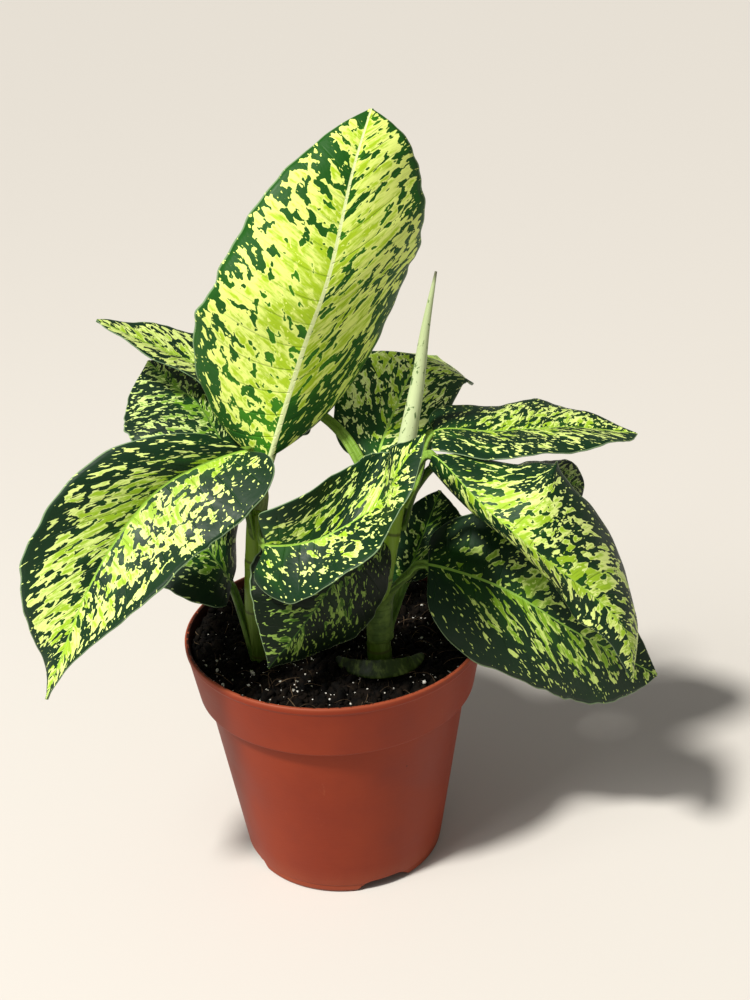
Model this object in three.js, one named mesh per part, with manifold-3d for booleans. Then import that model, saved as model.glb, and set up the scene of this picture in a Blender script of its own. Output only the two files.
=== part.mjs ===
// A potted dieffenbachia: plastic nursery pot, peat soil, two canes, thirteen open leaves,
// one leaf that is still rolled up, and the stub of an old leaf sheath.
// Millimetres, +Z up. The origin is the middle of the pot's flat underside.
import * as THREE from "three";
import { mergeVertices } from "three/addons/utils/BufferGeometryUtils.js";
import Module from "manifold-3d";

const wasm = await Module();
wasm.setup();

// ---- Driving dimensions -------------------------------------------------------------------

const GAP = 0.3; // clearance between pieces that touch

const pot = {
  height: 101,
  lipRadius: 60, // the 12 cm that the pot is sold by
  bandRadius: 55.9, // foot of the band round the lip
  bandHeight: 77.8, // where that foot is
  wallRadius: 52.7, // the wall just below the band
  footRadius: 41.1,
  footRound: 2.5,
  wall: 1.6,
  floor: 2,
  sides: 64,
};

const notches = { count: 4, first: 21, width: 24, crown: 11, height: 4.6, depth: 6 }; // first: degrees

const soil = { rim: 92.5, crown: 95.5, heaped: 5, lumps: 1.1, rings: 9, sides: 44 };

const canes = {
  sides: 14,
  steps: 9,
  left: {
    points: [
      [-28, -12, 66],
      [-29, -13, 95],
      [-30, -13, 120],
      [-28, -13, 145],
      [-26.5, -13, 160],
    ],
    radii: [4.8, 3.7],
  },
  right: {
    points: [
      [17, -22, 66],
      [17, -22, 95],
      [17, -21, 120],
      [22, -18.5, 145],
      [26.5, -15, 165],
    ],
    radii: [5.4, 3.2],
  },
};

const rolledLeaf = {
  points: [
    [27.3, -14, 168],
    [30, -10, 181],
    [35, -6, 203],
    [39, -3, 225],
    [43.5, 0, 245],
  ],
  radius: 3.1,
  lap: 0.16, // how far the outer edge of the roll stands over the inner one, as a share of the radius
  sides: 14,
  steps: 9,
};

const oldSheath = {
  centre: [17, -22, 96.2],
  facing: -92, // degrees round Z of its middle
  spread: 104, // degrees to each end
  nearRadius: 8.6,
  endRadius: 17,
  height: 6.4,
  thickness: 2.4,
  lean: 3.6, // how far its foot stands out past its top
  steps: 16,
};

// A leaf is one grown piece: a petiole that widens into a blade along one curve. `route` holds the
// curve's points, and the blade begins at point number `base`. `across` points from the midrib to
// the blade's right half, at its base, middle and tip. Each half has its width, the angle at which
// it leaves the midrib and the further angle it curls through, both at the base and at the tip.
const blade = {
  thickness: 0.75,
  ribWidth: [1.9, 0.45], // half the width of the midrib, at the base and at the tip
  ribDepth: [1.9, 0.3],
  edge: [1.2, 0.35], // least width of blade beside the midrib
  columns: 2, // strips beside the midrib in each half
  steps: 14,
  petioleSteps: 5,
};

const leaves = {
  leaf_tall: {
    route: [
      [-27, -13, 156],
      [-24, -10, 169],
      [-20, -16, 183],
      [-6, -19, 223],
      [5, -19, 251],
      [15, -5, 283],
      [23, 12, 301],
    ],
    base: 2,
    across: [
      [0.9, -0.2, 0.3],
      [0.9, 0.4, -0.1],
      [1, 0.1, 0.1],
    ],
    width: [41, 42],
    fold: [
      [-15, 24],
      [-15, 3],
    ],
    curl: [
      [-49, -21],
      [-47, -34],
    ],
    lobe: 0.01,
    blunt: 7.5,
    taper: 1.2,
    wave: [1.6, 3.5],
    foot: 2.9,
    colour: 0xb4cf3c,
  },
  leaf_left_low: {
    route: [
      [-28, -14, 151],
      [-29, -18, 164],
      [-31, -16, 175],
      [-28, -18, 187],
      [-54, -28, 182],
      [-71, -35, 169],
      [-87, -47, 148],
      [-105, -57, 111],
    ],
    base: 3,
    across: [
      [-0.8, -0.2, 0.6],
      [-0.7, -0.7, 0.3],
      [-0.7, 0.7, -0.3],
    ],
    width: [32, 29],
    fold: [
      [55, 22],
      [9, 1],
    ],
    curl: [
      [10, -14],
      [-30, -38],
    ],
    lobe: 0.03,
    blunt: 5.5,
    taper: 1.7,
    wave: [1.8, 3],
    foot: 2.2,
    colour: 0x7ea33a,
  },
  leaf_left_high: {
    route: [
      [21, -19, 137],
      [16, -15, 157],
      [13, -11, 177],
      [-2, 6, 191],
      [-40, 29, 201],
      [-68, 28, 216],
      [-84, 31, 224],
    ],
    base: 3,
    across: [
      [0.7, 0.5, 0.6],
      [-0.2, 1, 0],
      [0.1, 1, 0],
    ],
    width: [19, 23],
    fold: [
      [19, 16],
      [21, 11],
    ],
    curl: [
      [-20, -19],
      [-18, -24],
    ],
    lobe: 0.1,
    blunt: 4.5,
    taper: 1.2,
    wave: [1.2, 3],
    foot: 3,
    colour: 0x5f8a3a,
  },
  leaf_left_mid: {
    route: [
      [-28, -12, 150],
      [-29, -6, 159],
      [-31, -5, 168],
      [-35, -2, 177],
      [-47, 15, 193],
      [-58, 29, 197],
      [-68, 44, 202],
    ],
    base: 3,
    across: [
      [0.7, 0.5, 0.4],
      [0.8, 0.6, 0.3],
      [0.7, 0.6, 0.4],
    ],
    width: [29, 27],
    fold: [
      [14, 11],
      [-15, -7],
    ],
    curl: [
      [-24, -24],
      [-37, -31],
    ],
    lobe: 0.07,
    blunt: 5,
    taper: 1.3,
    wave: [1, 3],
    foot: 2,
    colour: 0x3f6f3a,
  },
  leaf_left_small: {
    route: [
      [-29, -12, 76],
      [-34, -14, 110],
      [-39, -6, 126],
      [-46, -3, 138],
      [-64, 19, 157],
    ],
    base: 2,
    across: [
      [0.3, 0.9, 0.3],
      [0.7, 0.5, 0.5],
      [0.7, 0.4, 0.6],
    ],
    width: [24, 24],
    fold: [
      [21, 11],
      [3, 10],
    ],
    curl: [
      [-19, -24],
      [-31, -25],
    ],
    lobe: 0.06,
    blunt: 4.5,
    taper: 1.2,
    wave: [0.8, 2.5],
    foot: 1.9,
    colour: 0x2f5a36,
  },
  leaf_centre: {
    route: [
      [-30, -14, 109],
      [-27, -15, 135],
      [-25, -23, 158],
      [-23, -41, 160],
      [-4, -43, 162],
      [18, -40, 173],
      [25, -46, 188],
      [35, -40, 199],
    ],
    base: 3,
    across: [
      [-0.2, 0, -1],
      [-0.4, -0.9, -0.2],
      [0.3, -0.9, -0.2],
    ],
    width: [23, 23],
    fold: [
      [27, 1],
      [21, 2],
    ],
    curl: [
      [-13, -33],
      [-18, -32],
    ],
    lobe: 0.07,
    blunt: 6,
    taper: 1.6,
    wave: [1, 3.5],
    foot: 2.4,
    colour: 0x557f3a,
  },
  leaf_front: {
    route: [
      [18, -22, 124],
      [18, -27, 141],
      [17, -28, 156],
      [3, -39, 145],
      [-10, -45, 130],
      [-25, -47, 112],
    ],
    base: 2,
    across: [
      [-0.6, -0.2, 0.8],
      [-0.9, 0, 0.5],
      [-0.5, -0.3, 0.8],
    ],
    width: [29, 31],
    fold: [
      [2, -1],
      [-10, 3],
    ],
    curl: [
      [-40, -38],
      [-38, -27],
    ],
    lobe: 0.07,
    blunt: 4,
    taper: 1.7,
    wave: [1, 3],
    foot: 2.3,
    colour: 0x2c5230,
  },
  leaf_back: {
    route: [
      [23, -17, 150],
      [23, -9, 163],
      [20, -6, 176],
      [28, 11, 189],
      [37, 21, 203],
      [43, 37, 200],
      [51, 86, 183],
    ],
    base: 2,
    across: [
      [0.9, -0.2, -0.3],
      [0.8, 0.5, -0.4],
      [0.8, 0.6, -0.3],
    ],
    width: [28, 26],
    fold: [
      [7, 0],
      [4, -12],
    ],
    curl: [
      [-23, -34],
      [-22, -40],
    ],
    lobe: 0.07,
    blunt: 4,
    taper: 1.2,
    wave: [1, 3],
    foot: 2.3,
    colour: 0x4d7a3a,
  },
  leaf_right_flat: {
    route: [
      [28, -15, 160],
      [34, -12, 171],
      [41, -5, 185],
      [65, 2, 181],
      [96, 14, 176],
      [123, 16, 171],
    ],
    base: 2,
    across: [
      [0, -1, -0.3],
      [-0.1, -1, -0.1],
      [0.4, -0.9, -0.1],
    ],
    width: [27, 28],
    fold: [
      [5, 16],
      [21, 19],
    ],
    curl: [
      [-33, -21],
      [-23, -17],
    ],
    lobe: 0.07,
    blunt: 3.5,
    taper: 1.3,
    wave: [1.2, 3],
    foot: 2.2,
    colour: 0x6f9b38,
  },
  leaf_right_drooping: {
    route: [
      [25, -17, 160],
      [31, -21, 174],
      [39, -22, 183],
      [55, -42, 171],
      [72, -54, 158],
      [103, -54, 127],
      [110, -51, 99],
    ],
    base: 2,
    across: [
      [-0.9, -0.3, -0.4],
      [0.7, 0.4, -0.6],
      [-0.8, -0.5, 0.3],
    ],
    width: [39, 14],
    fold: [
      [-20, -10],
      [-40, 5],
    ],
    curl: [
      [-53, -44],
      [-50, -24],
    ],
    lobe: 0.05,
    blunt: 3,
    taper: 1.5,
    wave: [1.2, 3],
    foot: 2.3,
    colour: 0x73993b,
  },
  leaf_right_low: {
    route: [
      [17, -21, 108],
      [21, -20, 123],
      [29, -16, 131],
      [37, -18, 136],
      [65, -22, 126],
      [92, -29, 109],
      [126, -24, 84],
    ],
    base: 3,
    across: [
      [-0.1, -0.9, -0.4],
      [0.1, 0.1, -1],
      [-0.1, -0.3, -0.9],
    ],
    width: [31, 35],
    fold: [
      [8, 9],
      [-5, 1],
    ],
    curl: [
      [-33, -26],
      [-37, -34],
    ],
    lobe: 0.04,
    blunt: 5.5,
    taper: 1.3,
    wave: [1.4, 3],
    foot: 3,
    colour: 0x4a7636,
  },
  leaf_right_far: {
    route: [
      [27, -16, 151],
      [34, -3, 162],
      [48, 9, 167],
      [75, 11, 158],
      [106, 31, 142],
    ],
    base: 2,
    across: [
      [0.2, -1, 0.2],
      [0.1, -1, 0.2],
      [-0.2, -0.9, -0.3],
    ],
    width: [25, 28],
    fold: [
      [-1, 16],
      [17, 14],
    ],
    curl: [
      [-40, -19],
      [-23, -21],
    ],
    lobe: 0.07,
    blunt: 5,
    taper: 0.9,
    wave: [1, 3],
    foot: 2,
    colour: 0x3f6b38,
  },
  leaf_inner: {
    route: [
      [17, -21, 100],
      [23, -13, 112],
      [28, -7, 122],
      [37, 5, 137],
      [45, 16, 151],
    ],
    base: 2,
    across: [
      [1, 0.2, 0.2],
      [1, 0.2, 0.1],
      [0.9, 0.2, -0.4],
    ],
    width: [14, 16],
    fold: [
      [15, 11],
      [16, 8],
    ],
    curl: [
      [-25, -25],
      [-24, -26],
    ],
    lobe: 0.07,
    blunt: 5,
    taper: 1.4,
    wave: [0.6, 2],
    foot: 1.9,
    colour: 0x1e3a28,
  },
};

// ---- Small helpers ------------------------------------------------------------------------

const mix = (pair, share) => pair[0] + (pair[1] - pair[0]) * share;
const radians = THREE.MathUtils.degToRad;
const vectors = (list) => list.map((p) => new THREE.Vector3(...p));

// A closed surface through equal rings of points, with each end closed by `cap`.
function loft(rings, flipped, cap) {
  const count = rings[0].length;
  const positions = rings.flat().flatMap((p) => [p.x, p.y, p.z]);
  const faces = [];
  for (let i = 0; i + 1 < rings.length; i++) {
    for (let j = 0; j < count; j++) {
      const a = i * count + j;
      const b = i * count + ((j + 1) % count);
      const [c, d] = [a + count, b + count];
      if (flipped(j)) faces.push(a, b, c, b, d, c);
      else faces.push(a, b, d, a, d, c);
    }
  }
  const last = (rings.length - 1) * count;
  for (const [a, b, c] of cap(count)) {
    faces.push(a, c, b);
    faces.push(last + a, last + b, last + c);
  }
  const geometry = new THREE.BufferGeometry();
  geometry.setAttribute("position", new THREE.Float32BufferAttribute(positions, 3));
  geometry.setIndex(faces);
  return geometry;
}

// Caps: a fan closes a round ring, and a ladder joins the upper row of a flat ring to its lower row.
const fan = (count) => Array.from({ length: count - 2 }, (_, j) => [0, j + 1, j + 2]);

function ladder(count) {
  const faces = [];
  for (let j = 0; j + 1 < count / 2; j++) {
    const [a, b] = [j, j + 1];
    const [c, d] = [count - 1 - j, count - 2 - j];
    faces.push([a, b, d], [a, d, c]);
  }
  return faces;
}

// ---- Solids that are joined or cut --------------------------------------------------------

function solidOf(geometry) {
  const bare = geometry.clone();
  bare.deleteAttribute("normal");
  bare.deleteAttribute("uv");
  const merged = mergeVertices(bare, 1e-4);
  return new wasm.Manifold(
    new wasm.Mesh({
      numProp: 3,
      vertProperties: merged.getAttribute("position").array,
      triVerts: new Uint32Array(merged.getIndex().array),
    }),
  );
}

function geometryOf(solid) {
  const mesh = solid.getMesh();
  const geometry = new THREE.BufferGeometry();
  geometry.setAttribute("position", new THREE.BufferAttribute(mesh.vertProperties, 3));
  geometry.setIndex(new THREE.BufferAttribute(mesh.triVerts, 1));
  return geometry;
}

const cut = (geometry, ...tools) =>
  geometryOf(tools.reduce((left, tool) => left.subtract(solidOf(tool)), solidOf(geometry)));

// ---- Pot and soil -------------------------------------------------------------------------

function potGeometry() {
  const { height, lipRadius, bandRadius, bandHeight, wallRadius, footRadius, footRound, wall, floor } = pot;
  const profile = [
    [0, 0],
    [footRadius - footRound, 0],
    [footRadius - 0.3 * footRound, 0.3 * footRound],
    [footRadius, footRound],
    [wallRadius, bandHeight - 1.2],
    [bandRadius - 0.5, bandHeight - 0.4],
    [bandRadius, bandHeight + 0.6],
    [lipRadius - 0.4, height - 2.2],
    [lipRadius, height - 0.7],
    [lipRadius - 0.4, height],
    [lipRadius - wall + 0.2, height],
    [lipRadius - wall - 0.3, height - 0.7],
    [bandRadius - wall, bandHeight + 1.8],
    [wallRadius - wall, bandHeight + 0.6],
    [footRadius - wall, floor + 1.6],
    [footRadius - wall - 1.6, floor],
    [0, floor],
  ];
  const turned = new THREE.LatheGeometry(
    profile.map(([r, z]) => new THREE.Vector2(r, z)),
    pot.sides,
  ).rotateX(Math.PI / 2);
  return cut(turned, ...Array.from({ length: notches.count }, (_, k) => notchGeometry(k)));
}

// One arched drain notch through the corner between the wall and the floor.
function notchGeometry(k) {
  const { width, crown, height, depth, count, first } = notches;
  const arch = new THREE.Shape();
  arch.moveTo(-width / 2, -1);
  arch.lineTo(width / 2, -1);
  arch.lineTo(width / 2, 0.4);
  arch.quadraticCurveTo(crown / 2 + 2, height, crown / 2, height);
  arch.lineTo(-crown / 2, height);
  arch.quadraticCurveTo(-crown / 2 - 2, height, -width / 2, 0.4);
  const bar = new THREE.ExtrudeGeometry(arch, { depth: 2 * depth, bevelEnabled: false, curveSegments: 3 });
  bar.rotateX(Math.PI / 2);
  bar.translate(0, -(pot.footRadius - depth), 0);
  return bar.rotateZ(radians(first + (k * 360) / count));
}

// The height of the soil's crumbly top: lumps of three sizes on a low mound, heaped up towards the
// back and the left of the pot.
function soilHeight(x, y, share) {
  const lumps =
    Math.sin(x * 0.21 + 1.3) * Math.cos(y * 0.19 + 0.4) +
    0.7 * Math.sin(x * 0.47 - y * 0.31 + 2.1) +
    0.5 * Math.cos(x * 0.83 + y * 0.71);
  const heap = soil.heaped / (1 + Math.exp((5 + 0.5 * x - 0.8 * y) / 10));
  return soil.rim + (soil.crown - soil.rim) * (1 - share * share) + heap + soil.lumps * 0.5 * lumps;
}

function soilGeometry() {
  const ledge = [pot.bandRadius - pot.wall, pot.bandHeight + 1.8];
  const lip = [pot.lipRadius - pot.wall - 0.3, pot.height - 0.7];
  const inner = (z) => THREE.MathUtils.mapLinear(z, ledge[1], lip[1], ledge[0], lip[0]) - 2 * GAP;
  const ring = (radius, heightAt) =>
    Array.from({ length: soil.sides }, (_, j) => {
      const angle = (j / soil.sides) * 2 * Math.PI;
      const [x, y] = [radius * Math.cos(angle), radius * Math.sin(angle)];
      return new THREE.Vector3(x, y, heightAt(x, y));
    });
  const floor = pot.floor + 2;
  const rings = [
    ring(pot.footRadius - pot.wall - 2 * GAP, () => floor),
    ring(pot.wallRadius - pot.wall - 2 * GAP, () => pot.bandHeight),
    ring(pot.wallRadius - pot.wall - 2 * GAP, () => pot.bandHeight + 2.4),
    ring(inner(pot.bandHeight + 4), () => pot.bandHeight + 4),
  ];
  for (let k = 0; k < soil.rings; k++) {
    const share = 1 - k / soil.rings;
    rings.push(ring(inner(soil.rim - 2) * share, (x, y) => soilHeight(x, y, share)));
  }
  return loft(rings, () => false, fan);
}

// ---- Canes, rolled leaf and old sheath ----------------------------------------------------

// A round stem along a curve. `grown` adds to its radius, for the room that others leave round it.
function stemGeometry(points, radii, sides, steps, grown = 0, lap = () => 1) {
  const curve = new THREE.CatmullRomCurve3(vectors(points), false, "catmullrom", 0.5);
  const rings = [];
  for (let i = 0; i <= steps; i++) {
    const share = i / steps;
    const tangent = curve.getTangentAt(share);
    const side = new THREE.Vector3(1, 0, 0).addScaledVector(tangent, -tangent.x).normalize();
    const front = new THREE.Vector3().crossVectors(tangent, side);
    const centre = curve.getPointAt(share);
    const radius = radii(share) + grown;
    rings.push(
      Array.from({ length: sides }, (_, j) => {
        const angle = (j / sides) * 2 * Math.PI;
        return centre
          .clone()
          .addScaledVector(side, radius * lap(j / sides) * Math.cos(angle))
          .addScaledVector(front, radius * lap(j / sides) * Math.sin(angle));
      }),
    );
  }
  return loft(rings, () => false, fan);
}

// Slight swellings where old leaves sat.
const nodeSwell = (share) => 1 + 0.05 * Math.cos(share * 5 * 2 * Math.PI);

function caneGeometry(cane, grown = 0) {
  const radii = (share) => mix(cane.radii, share) * nodeSwell(share);
  return stemGeometry(cane.points, radii, canes.sides, canes.steps, grown);
}

function rolledLeafGeometry() {
  const { radius, lap, points, sides, steps } = rolledLeaf;
  const taper = (share) => radius * Math.min(1, 0.8 + share) * (1 - share ** 1.6) + 0.45;
  return stemGeometry(points, taper, sides, steps, 0, (turn) => 1 + lap * (turn - 0.5));
}

// The stub of an old sheath: a crescent collar that leans against the foot of the right cane.
function oldSheathGeometry() {
  const { centre, facing, spread, nearRadius, endRadius, height, thickness, lean, steps } = oldSheath;
  const rings = [];
  for (let i = 0; i <= steps; i++) {
    const turn = (2 * i) / steps - 1;
    const angle = radians(facing + spread * turn);
    const fullness = Math.max(0.12, Math.sqrt(1 - turn * turn));
    const radius = nearRadius + (endRadius - nearRadius) * turn * turn;
    const out = new THREE.Vector3(Math.cos(angle), Math.sin(angle), 0);
    const corner = (r, z) => new THREE.Vector3(...centre).addScaledVector(out, r).setZ(centre[2] + z);
    const foot = radius + lean * fullness;
    const half = (thickness * (0.4 + 0.6 * fullness)) / 2;
    rings.push([
      corner(foot - half * 1.3, height * fullness * 0.45),
      corner(radius - half * 0.6, height * fullness + 0.3),
      corner(radius + half * 0.6, height * fullness),
      corner(foot + half * 0.9, height * fullness * 0.45),
      corner(foot + half, 0.4),
      corner(foot - half, 0.4),
    ]);
  }
  return loft(rings, () => false, fan);
}

// ---- Leaves -------------------------------------------------------------------------------

// Points, directions and lengths along a leaf's curve, sampled finely once.
function leafPath({ route, base, across }) {
  const samples = 240;
  const curve = new THREE.CatmullRomCurve3(vectors(route), false, "catmullrom", 0.5);
  const points = Array.from({ length: samples + 1 }, (_, i) => curve.getPoint(i / samples));
  const lengths = [0];
  for (let i = 1; i <= samples; i++) lengths.push(lengths[i - 1] + points[i].distanceTo(points[i - 1]));
  const start = lengths[Math.round((base / (route.length - 1)) * samples)];
  const length = lengths[samples] - start;
  const sides = vectors(across).map((v) => v.normalize());
  const frames = points.map((point, i) => {
    const share = THREE.MathUtils.clamp((lengths[i] - start) / length, 0, 1);
    const side = new THREE.Vector3()
      .addScaledVector(sides[0], (1 - share) ** 2)
      .addScaledVector(sides[1], 2 * share * (1 - share))
      .addScaledVector(sides[2], share ** 2)
      .normalize();
    const tangent = points[Math.min(i + 1, samples)].clone().sub(points[Math.max(i - 1, 0)]).normalize();
    return { point, tangent, side, face: new THREE.Vector3().crossVectors(side, tangent).normalize() };
  });
  // Down the petiole the upper side turns only as the curve does.
  for (let i = samples - 1; i >= 0; i--) {
    if (lengths[i] >= start) continue;
    const { tangent } = frames[i];
    const face = frames[i + 1].face.clone();
    frames[i].face = face.addScaledVector(tangent, -face.dot(tangent)).normalize();
    frames[i].side = new THREE.Vector3().crossVectors(tangent, frames[i].face);
  }
  const at = (distance) => {
    const reach = THREE.MathUtils.clamp(distance, 0, lengths[samples]);
    let i = 1;
    while (i < samples && lengths[i] < reach) i++;
    const share = (reach - lengths[i - 1]) / (lengths[i] - lengths[i - 1]);
    const blend = (key) => frames[i - 1][key].clone().lerp(frames[i][key], share);
    return {
      point: blend("point"),
      tangent: blend("tangent").normalize(),
      side: blend("side").normalize(),
      face: blend("face").normalize(),
    };
  };
  return { at, start, length };
}

// The blade's outline: a rounded base, then a long taper to the tip, as a share of the full width.
const outline = (share, blunt, taper) =>
  (Math.sqrt(1 - (1 - share) ** blunt) * (1 - share ** 2.2) ** taper) / 0.84;

const forwardSweep = 0.18; // side veins run towards the tip by this share of the length
const lobeAt = 0.05; // where the basal lobes reach furthest back

// A point on the upper side of the blade, and `depth` below it. `share` runs from base to tip, and
// `column` from -columns - 1 at the left margin, past -1 to 1 for the midrib, to columns + 1.
function bladePoint(leaf, path, share, column, depth) {
  const half = column < 0 ? 0 : 1;
  const sign = column < 0 ? -1 : 1;
  const strip = Math.max(0, Math.abs(column) - 1) / blade.columns;
  const rib = mix(blade.ribWidth, share);
  const spread = leaf.width[half] * outline(share, leaf.blunt, leaf.taper);
  const width = rib + Math.max(spread, mix(blade.edge, share));
  const reach = Math.min(1, Math.abs(column)) * rib + strip * (width - rib);
  const across = reach / width;
  const lobe = leaf.lobe * (share / lobeAt) * Math.exp(1 - share / lobeAt);
  const along = share + (forwardSweep * 4 * share * (1 - share) - lobe) * across ** 1.3;
  const distance = Math.min(1, along) * path.length;
  const { point, tangent, side, face } = path.at(path.start + Math.max(0, distance));
  const fold = radians(mix(leaf.fold[half], share));
  const curl = radians(mix(leaf.curl[half], share)) * across;
  const [wave, waves] = leaf.wave;
  const fullness = spread / leaf.width[half];
  const phase = 2 * Math.PI * (waves * share + half * 0.4);
  const ripple = wave * across ** 3 * fullness * Math.sin(phase);
  const lean = fold + curl / 2;
  const flatness = Math.abs(curl) < 1e-6 ? 1 : Math.sin(curl / 2) / (curl / 2);
  const tilt = fold + curl;
  return point
    .addScaledVector(tangent, Math.min(0, distance))
    .addScaledVector(side, sign * (reach * Math.cos(lean) * flatness + depth * Math.sin(tilt)))
    .addScaledVector(face, reach * Math.sin(lean) * flatness + ripple - depth * Math.cos(tilt));
}

function bladeRing(leaf, path, share) {
  const columns = Array.from({ length: 2 * blade.columns + 3 }, (_, k) => k - blade.columns - 1);
  const upper = columns.map((c) => bladePoint(leaf, path, share, c, 0));
  const depth = (c) => blade.thickness + (c === 0 ? mix(blade.ribDepth, share) : 0);
  const lower = columns.map((c) => bladePoint(leaf, path, share, c, depth(c)));
  return [...upper, ...lower.reverse()];
}

// A petiole's ring is round below and flattened above, with the same count of points as a blade's.
function petioleRing(leaf, path, share) {
  const count = 2 * blade.columns + 3;
  const { point, side, face } = path.at(path.start * share);
  const radius = mix([leaf.foot, blade.ribWidth[0]], share);
  const place = (angle, height) =>
    point
      .clone()
      .addScaledVector(side, -radius * Math.cos(angle))
      .addScaledVector(face, radius * Math.sin(angle) * height);
  const angles = Array.from({ length: count }, (_, k) => (Math.PI * (k + 0.4)) / (count - 0.2));
  const upper = angles.map((angle) => place(angle, 0.55));
  const lower = angles.map((angle) => place(-angle, 1));
  return [...upper, ...lower.reverse()];
}

function leafGeometry(leaf) {
  const path = leafPath(leaf);
  const rings = [];
  for (let i = 0; i < blade.petioleSteps; i++) rings.push(petioleRing(leaf, path, i / blade.petioleSteps));
  for (let i = 0; i <= blade.steps; i++) rings.push(bladeRing(leaf, path, (i / blade.steps) ** 1.3));
  const upper = blade.columns * 2 + 2;
  return loft(rings, (j) => j > upper, ladder);
}

// ---- The plant in its pot -----------------------------------------------------------------

function meshOf(name, geometry, colour, roughness) {
  const mesh = new THREE.Mesh(
    geometry,
    new THREE.MeshStandardMaterial({ color: colour, roughness, metalness: 0 }),
  );
  mesh.name = name;
  return mesh;
}

const plant = new THREE.Group();
const room = { left: caneGeometry(canes.left, GAP), right: caneGeometry(canes.right, GAP) };

for (const [name, leaf] of Object.entries(leaves)) {
  plant.add(meshOf(name, cut(leafGeometry(leaf), room.left, room.right), leaf.colour, 0.45));
}
plant.add(meshOf("new_leaf", cut(rolledLeafGeometry(), room.right), 0xd5e3b8, 0.5));
plant.add(meshOf("stem_left", caneGeometry(canes.left), 0x86a84e, 0.5));
plant.add(meshOf("stem_right", caneGeometry(canes.right), 0x5d7a34, 0.5));
plant.add(meshOf("old_sheath", cut(oldSheathGeometry(), room.right), 0x4c6a3a, 0.6));

const rooted = leafGeometry({ ...leaves.leaf_left_small, foot: leaves.leaf_left_small.foot + GAP });
const group = new THREE.Group();
group.add(meshOf("pot", potGeometry(), 0xa5492e, 0.55));
group.add(meshOf("soil", cut(soilGeometry(), room.left, room.right, rooted), 0x1c1512, 0.95));
group.add(plant);

export default group;
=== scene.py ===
import bpy, bmesh, math
import numpy as np
from mathutils import Matrix, Vector, noise


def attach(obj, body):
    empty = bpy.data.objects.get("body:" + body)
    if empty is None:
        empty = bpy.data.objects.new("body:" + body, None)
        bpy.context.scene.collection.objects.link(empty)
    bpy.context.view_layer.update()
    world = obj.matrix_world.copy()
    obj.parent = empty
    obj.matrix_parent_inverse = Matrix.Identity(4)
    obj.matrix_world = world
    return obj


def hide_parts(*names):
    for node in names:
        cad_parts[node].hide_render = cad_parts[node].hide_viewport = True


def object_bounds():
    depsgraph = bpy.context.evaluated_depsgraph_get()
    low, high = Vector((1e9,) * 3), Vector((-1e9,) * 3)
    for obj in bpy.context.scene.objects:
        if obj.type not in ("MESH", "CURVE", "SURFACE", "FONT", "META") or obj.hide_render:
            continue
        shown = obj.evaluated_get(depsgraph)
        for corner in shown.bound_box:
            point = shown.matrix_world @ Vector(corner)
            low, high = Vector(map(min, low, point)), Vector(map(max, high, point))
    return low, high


# A dieffenbachia in a plastic nursery pot. Sizes are in mm and become metres in the meshes.
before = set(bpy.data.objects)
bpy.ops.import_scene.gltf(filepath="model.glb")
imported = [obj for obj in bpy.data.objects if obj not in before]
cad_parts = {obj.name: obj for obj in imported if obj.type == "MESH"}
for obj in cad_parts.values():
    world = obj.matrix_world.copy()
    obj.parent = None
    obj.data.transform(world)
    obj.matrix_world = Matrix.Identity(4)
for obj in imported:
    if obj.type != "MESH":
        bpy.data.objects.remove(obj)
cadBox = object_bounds()
scene = bpy.context.scene
mm = 0.001

# the camera that fits the pot's ellipses, the floor and the light
cameraLook = {
    "place": (0.0, -484.1, 383.8), "lens": 50, "sensor": 36, "clip": (0.02, 20),
    "right": (0.9978, -0.0548, -0.0362), "forward": (0.0343, 0.9042, -0.4258),
}
studio = {
    "floor": (0.60, 0.575, 0.54), "floorRoughness": 0.9, "floorHalf": 6,
    "sky": (1.0, 0.97, 0.92), "skyPower": 0.25, "aim": (0, 0, 140),
    "sun": {"place": (-440, -370, 1050), "power": 4.1, "degrees": 7, "tint": (1.0, 0.97, 0.91)},
    "softbox": {"place": (-520, -420, 820), "power": 3.5, "size": 420, "tint": (1.0, 0.98, 0.95)},
}


def addCamera():
    look = cameraLook
    forward = Vector(look["forward"]).normalized()
    right = Vector(look["right"])
    right = (right - forward * right.dot(forward)).normalized()
    camera = bpy.data.objects.new("camera", bpy.data.cameras.new("camera"))
    camera.data.lens, camera.data.sensor_width = look["lens"], look["sensor"]
    camera.data.clip_start, camera.data.clip_end = look["clip"]
    turn = Matrix((right, right.cross(forward), -forward)).transposed().to_4x4()
    camera.matrix_world = Matrix.Translation(Vector(look["place"]) * mm) @ turn
    scene.collection.objects.link(camera)
    scene.camera = camera


def addLamp(name, kind):
    look = studio[name]
    lamp = bpy.data.lights.new(name, kind)
    lamp.energy, lamp.color = look["power"], look["tint"]
    if kind == "SUN":
        lamp.angle = math.radians(look["degrees"])
    else:
        lamp.size = look["size"] * mm
    light = bpy.data.objects.new(name, lamp)
    light.location = Vector(look["place"]) * mm
    aim = Vector(studio["aim"]) * mm - light.location
    light.rotation_euler = aim.to_track_quat("-Z", "Y").to_euler()
    scene.collection.objects.link(light)


def setStage():
    addCamera()
    addLamp("sun", "SUN")
    addLamp("softbox", "AREA")
    scene.view_settings.view_transform = "Standard"
    world = bpy.data.worlds.new("studio")
    world.use_nodes = True
    background = world.node_tree.nodes["Background"]
    background.inputs["Color"].default_value = (*studio["sky"], 1)
    background.inputs["Strength"].default_value = studio["skyPower"]
    scene.world = world
    half = studio["floorHalf"]
    corners = [(-half, -half, 0), (half, -half, 0), (half, half, 0), (-half, half, 0)]
    floor = meshObject("floor", corners, [(0, 1, 2, 3)])
    paper = {"Base Color": (*studio["floor"], 1), "Roughness": studio["floorRoughness"]}
    floor.data.materials.append(makeMaterial("paleFloor", paper)[0])


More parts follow.
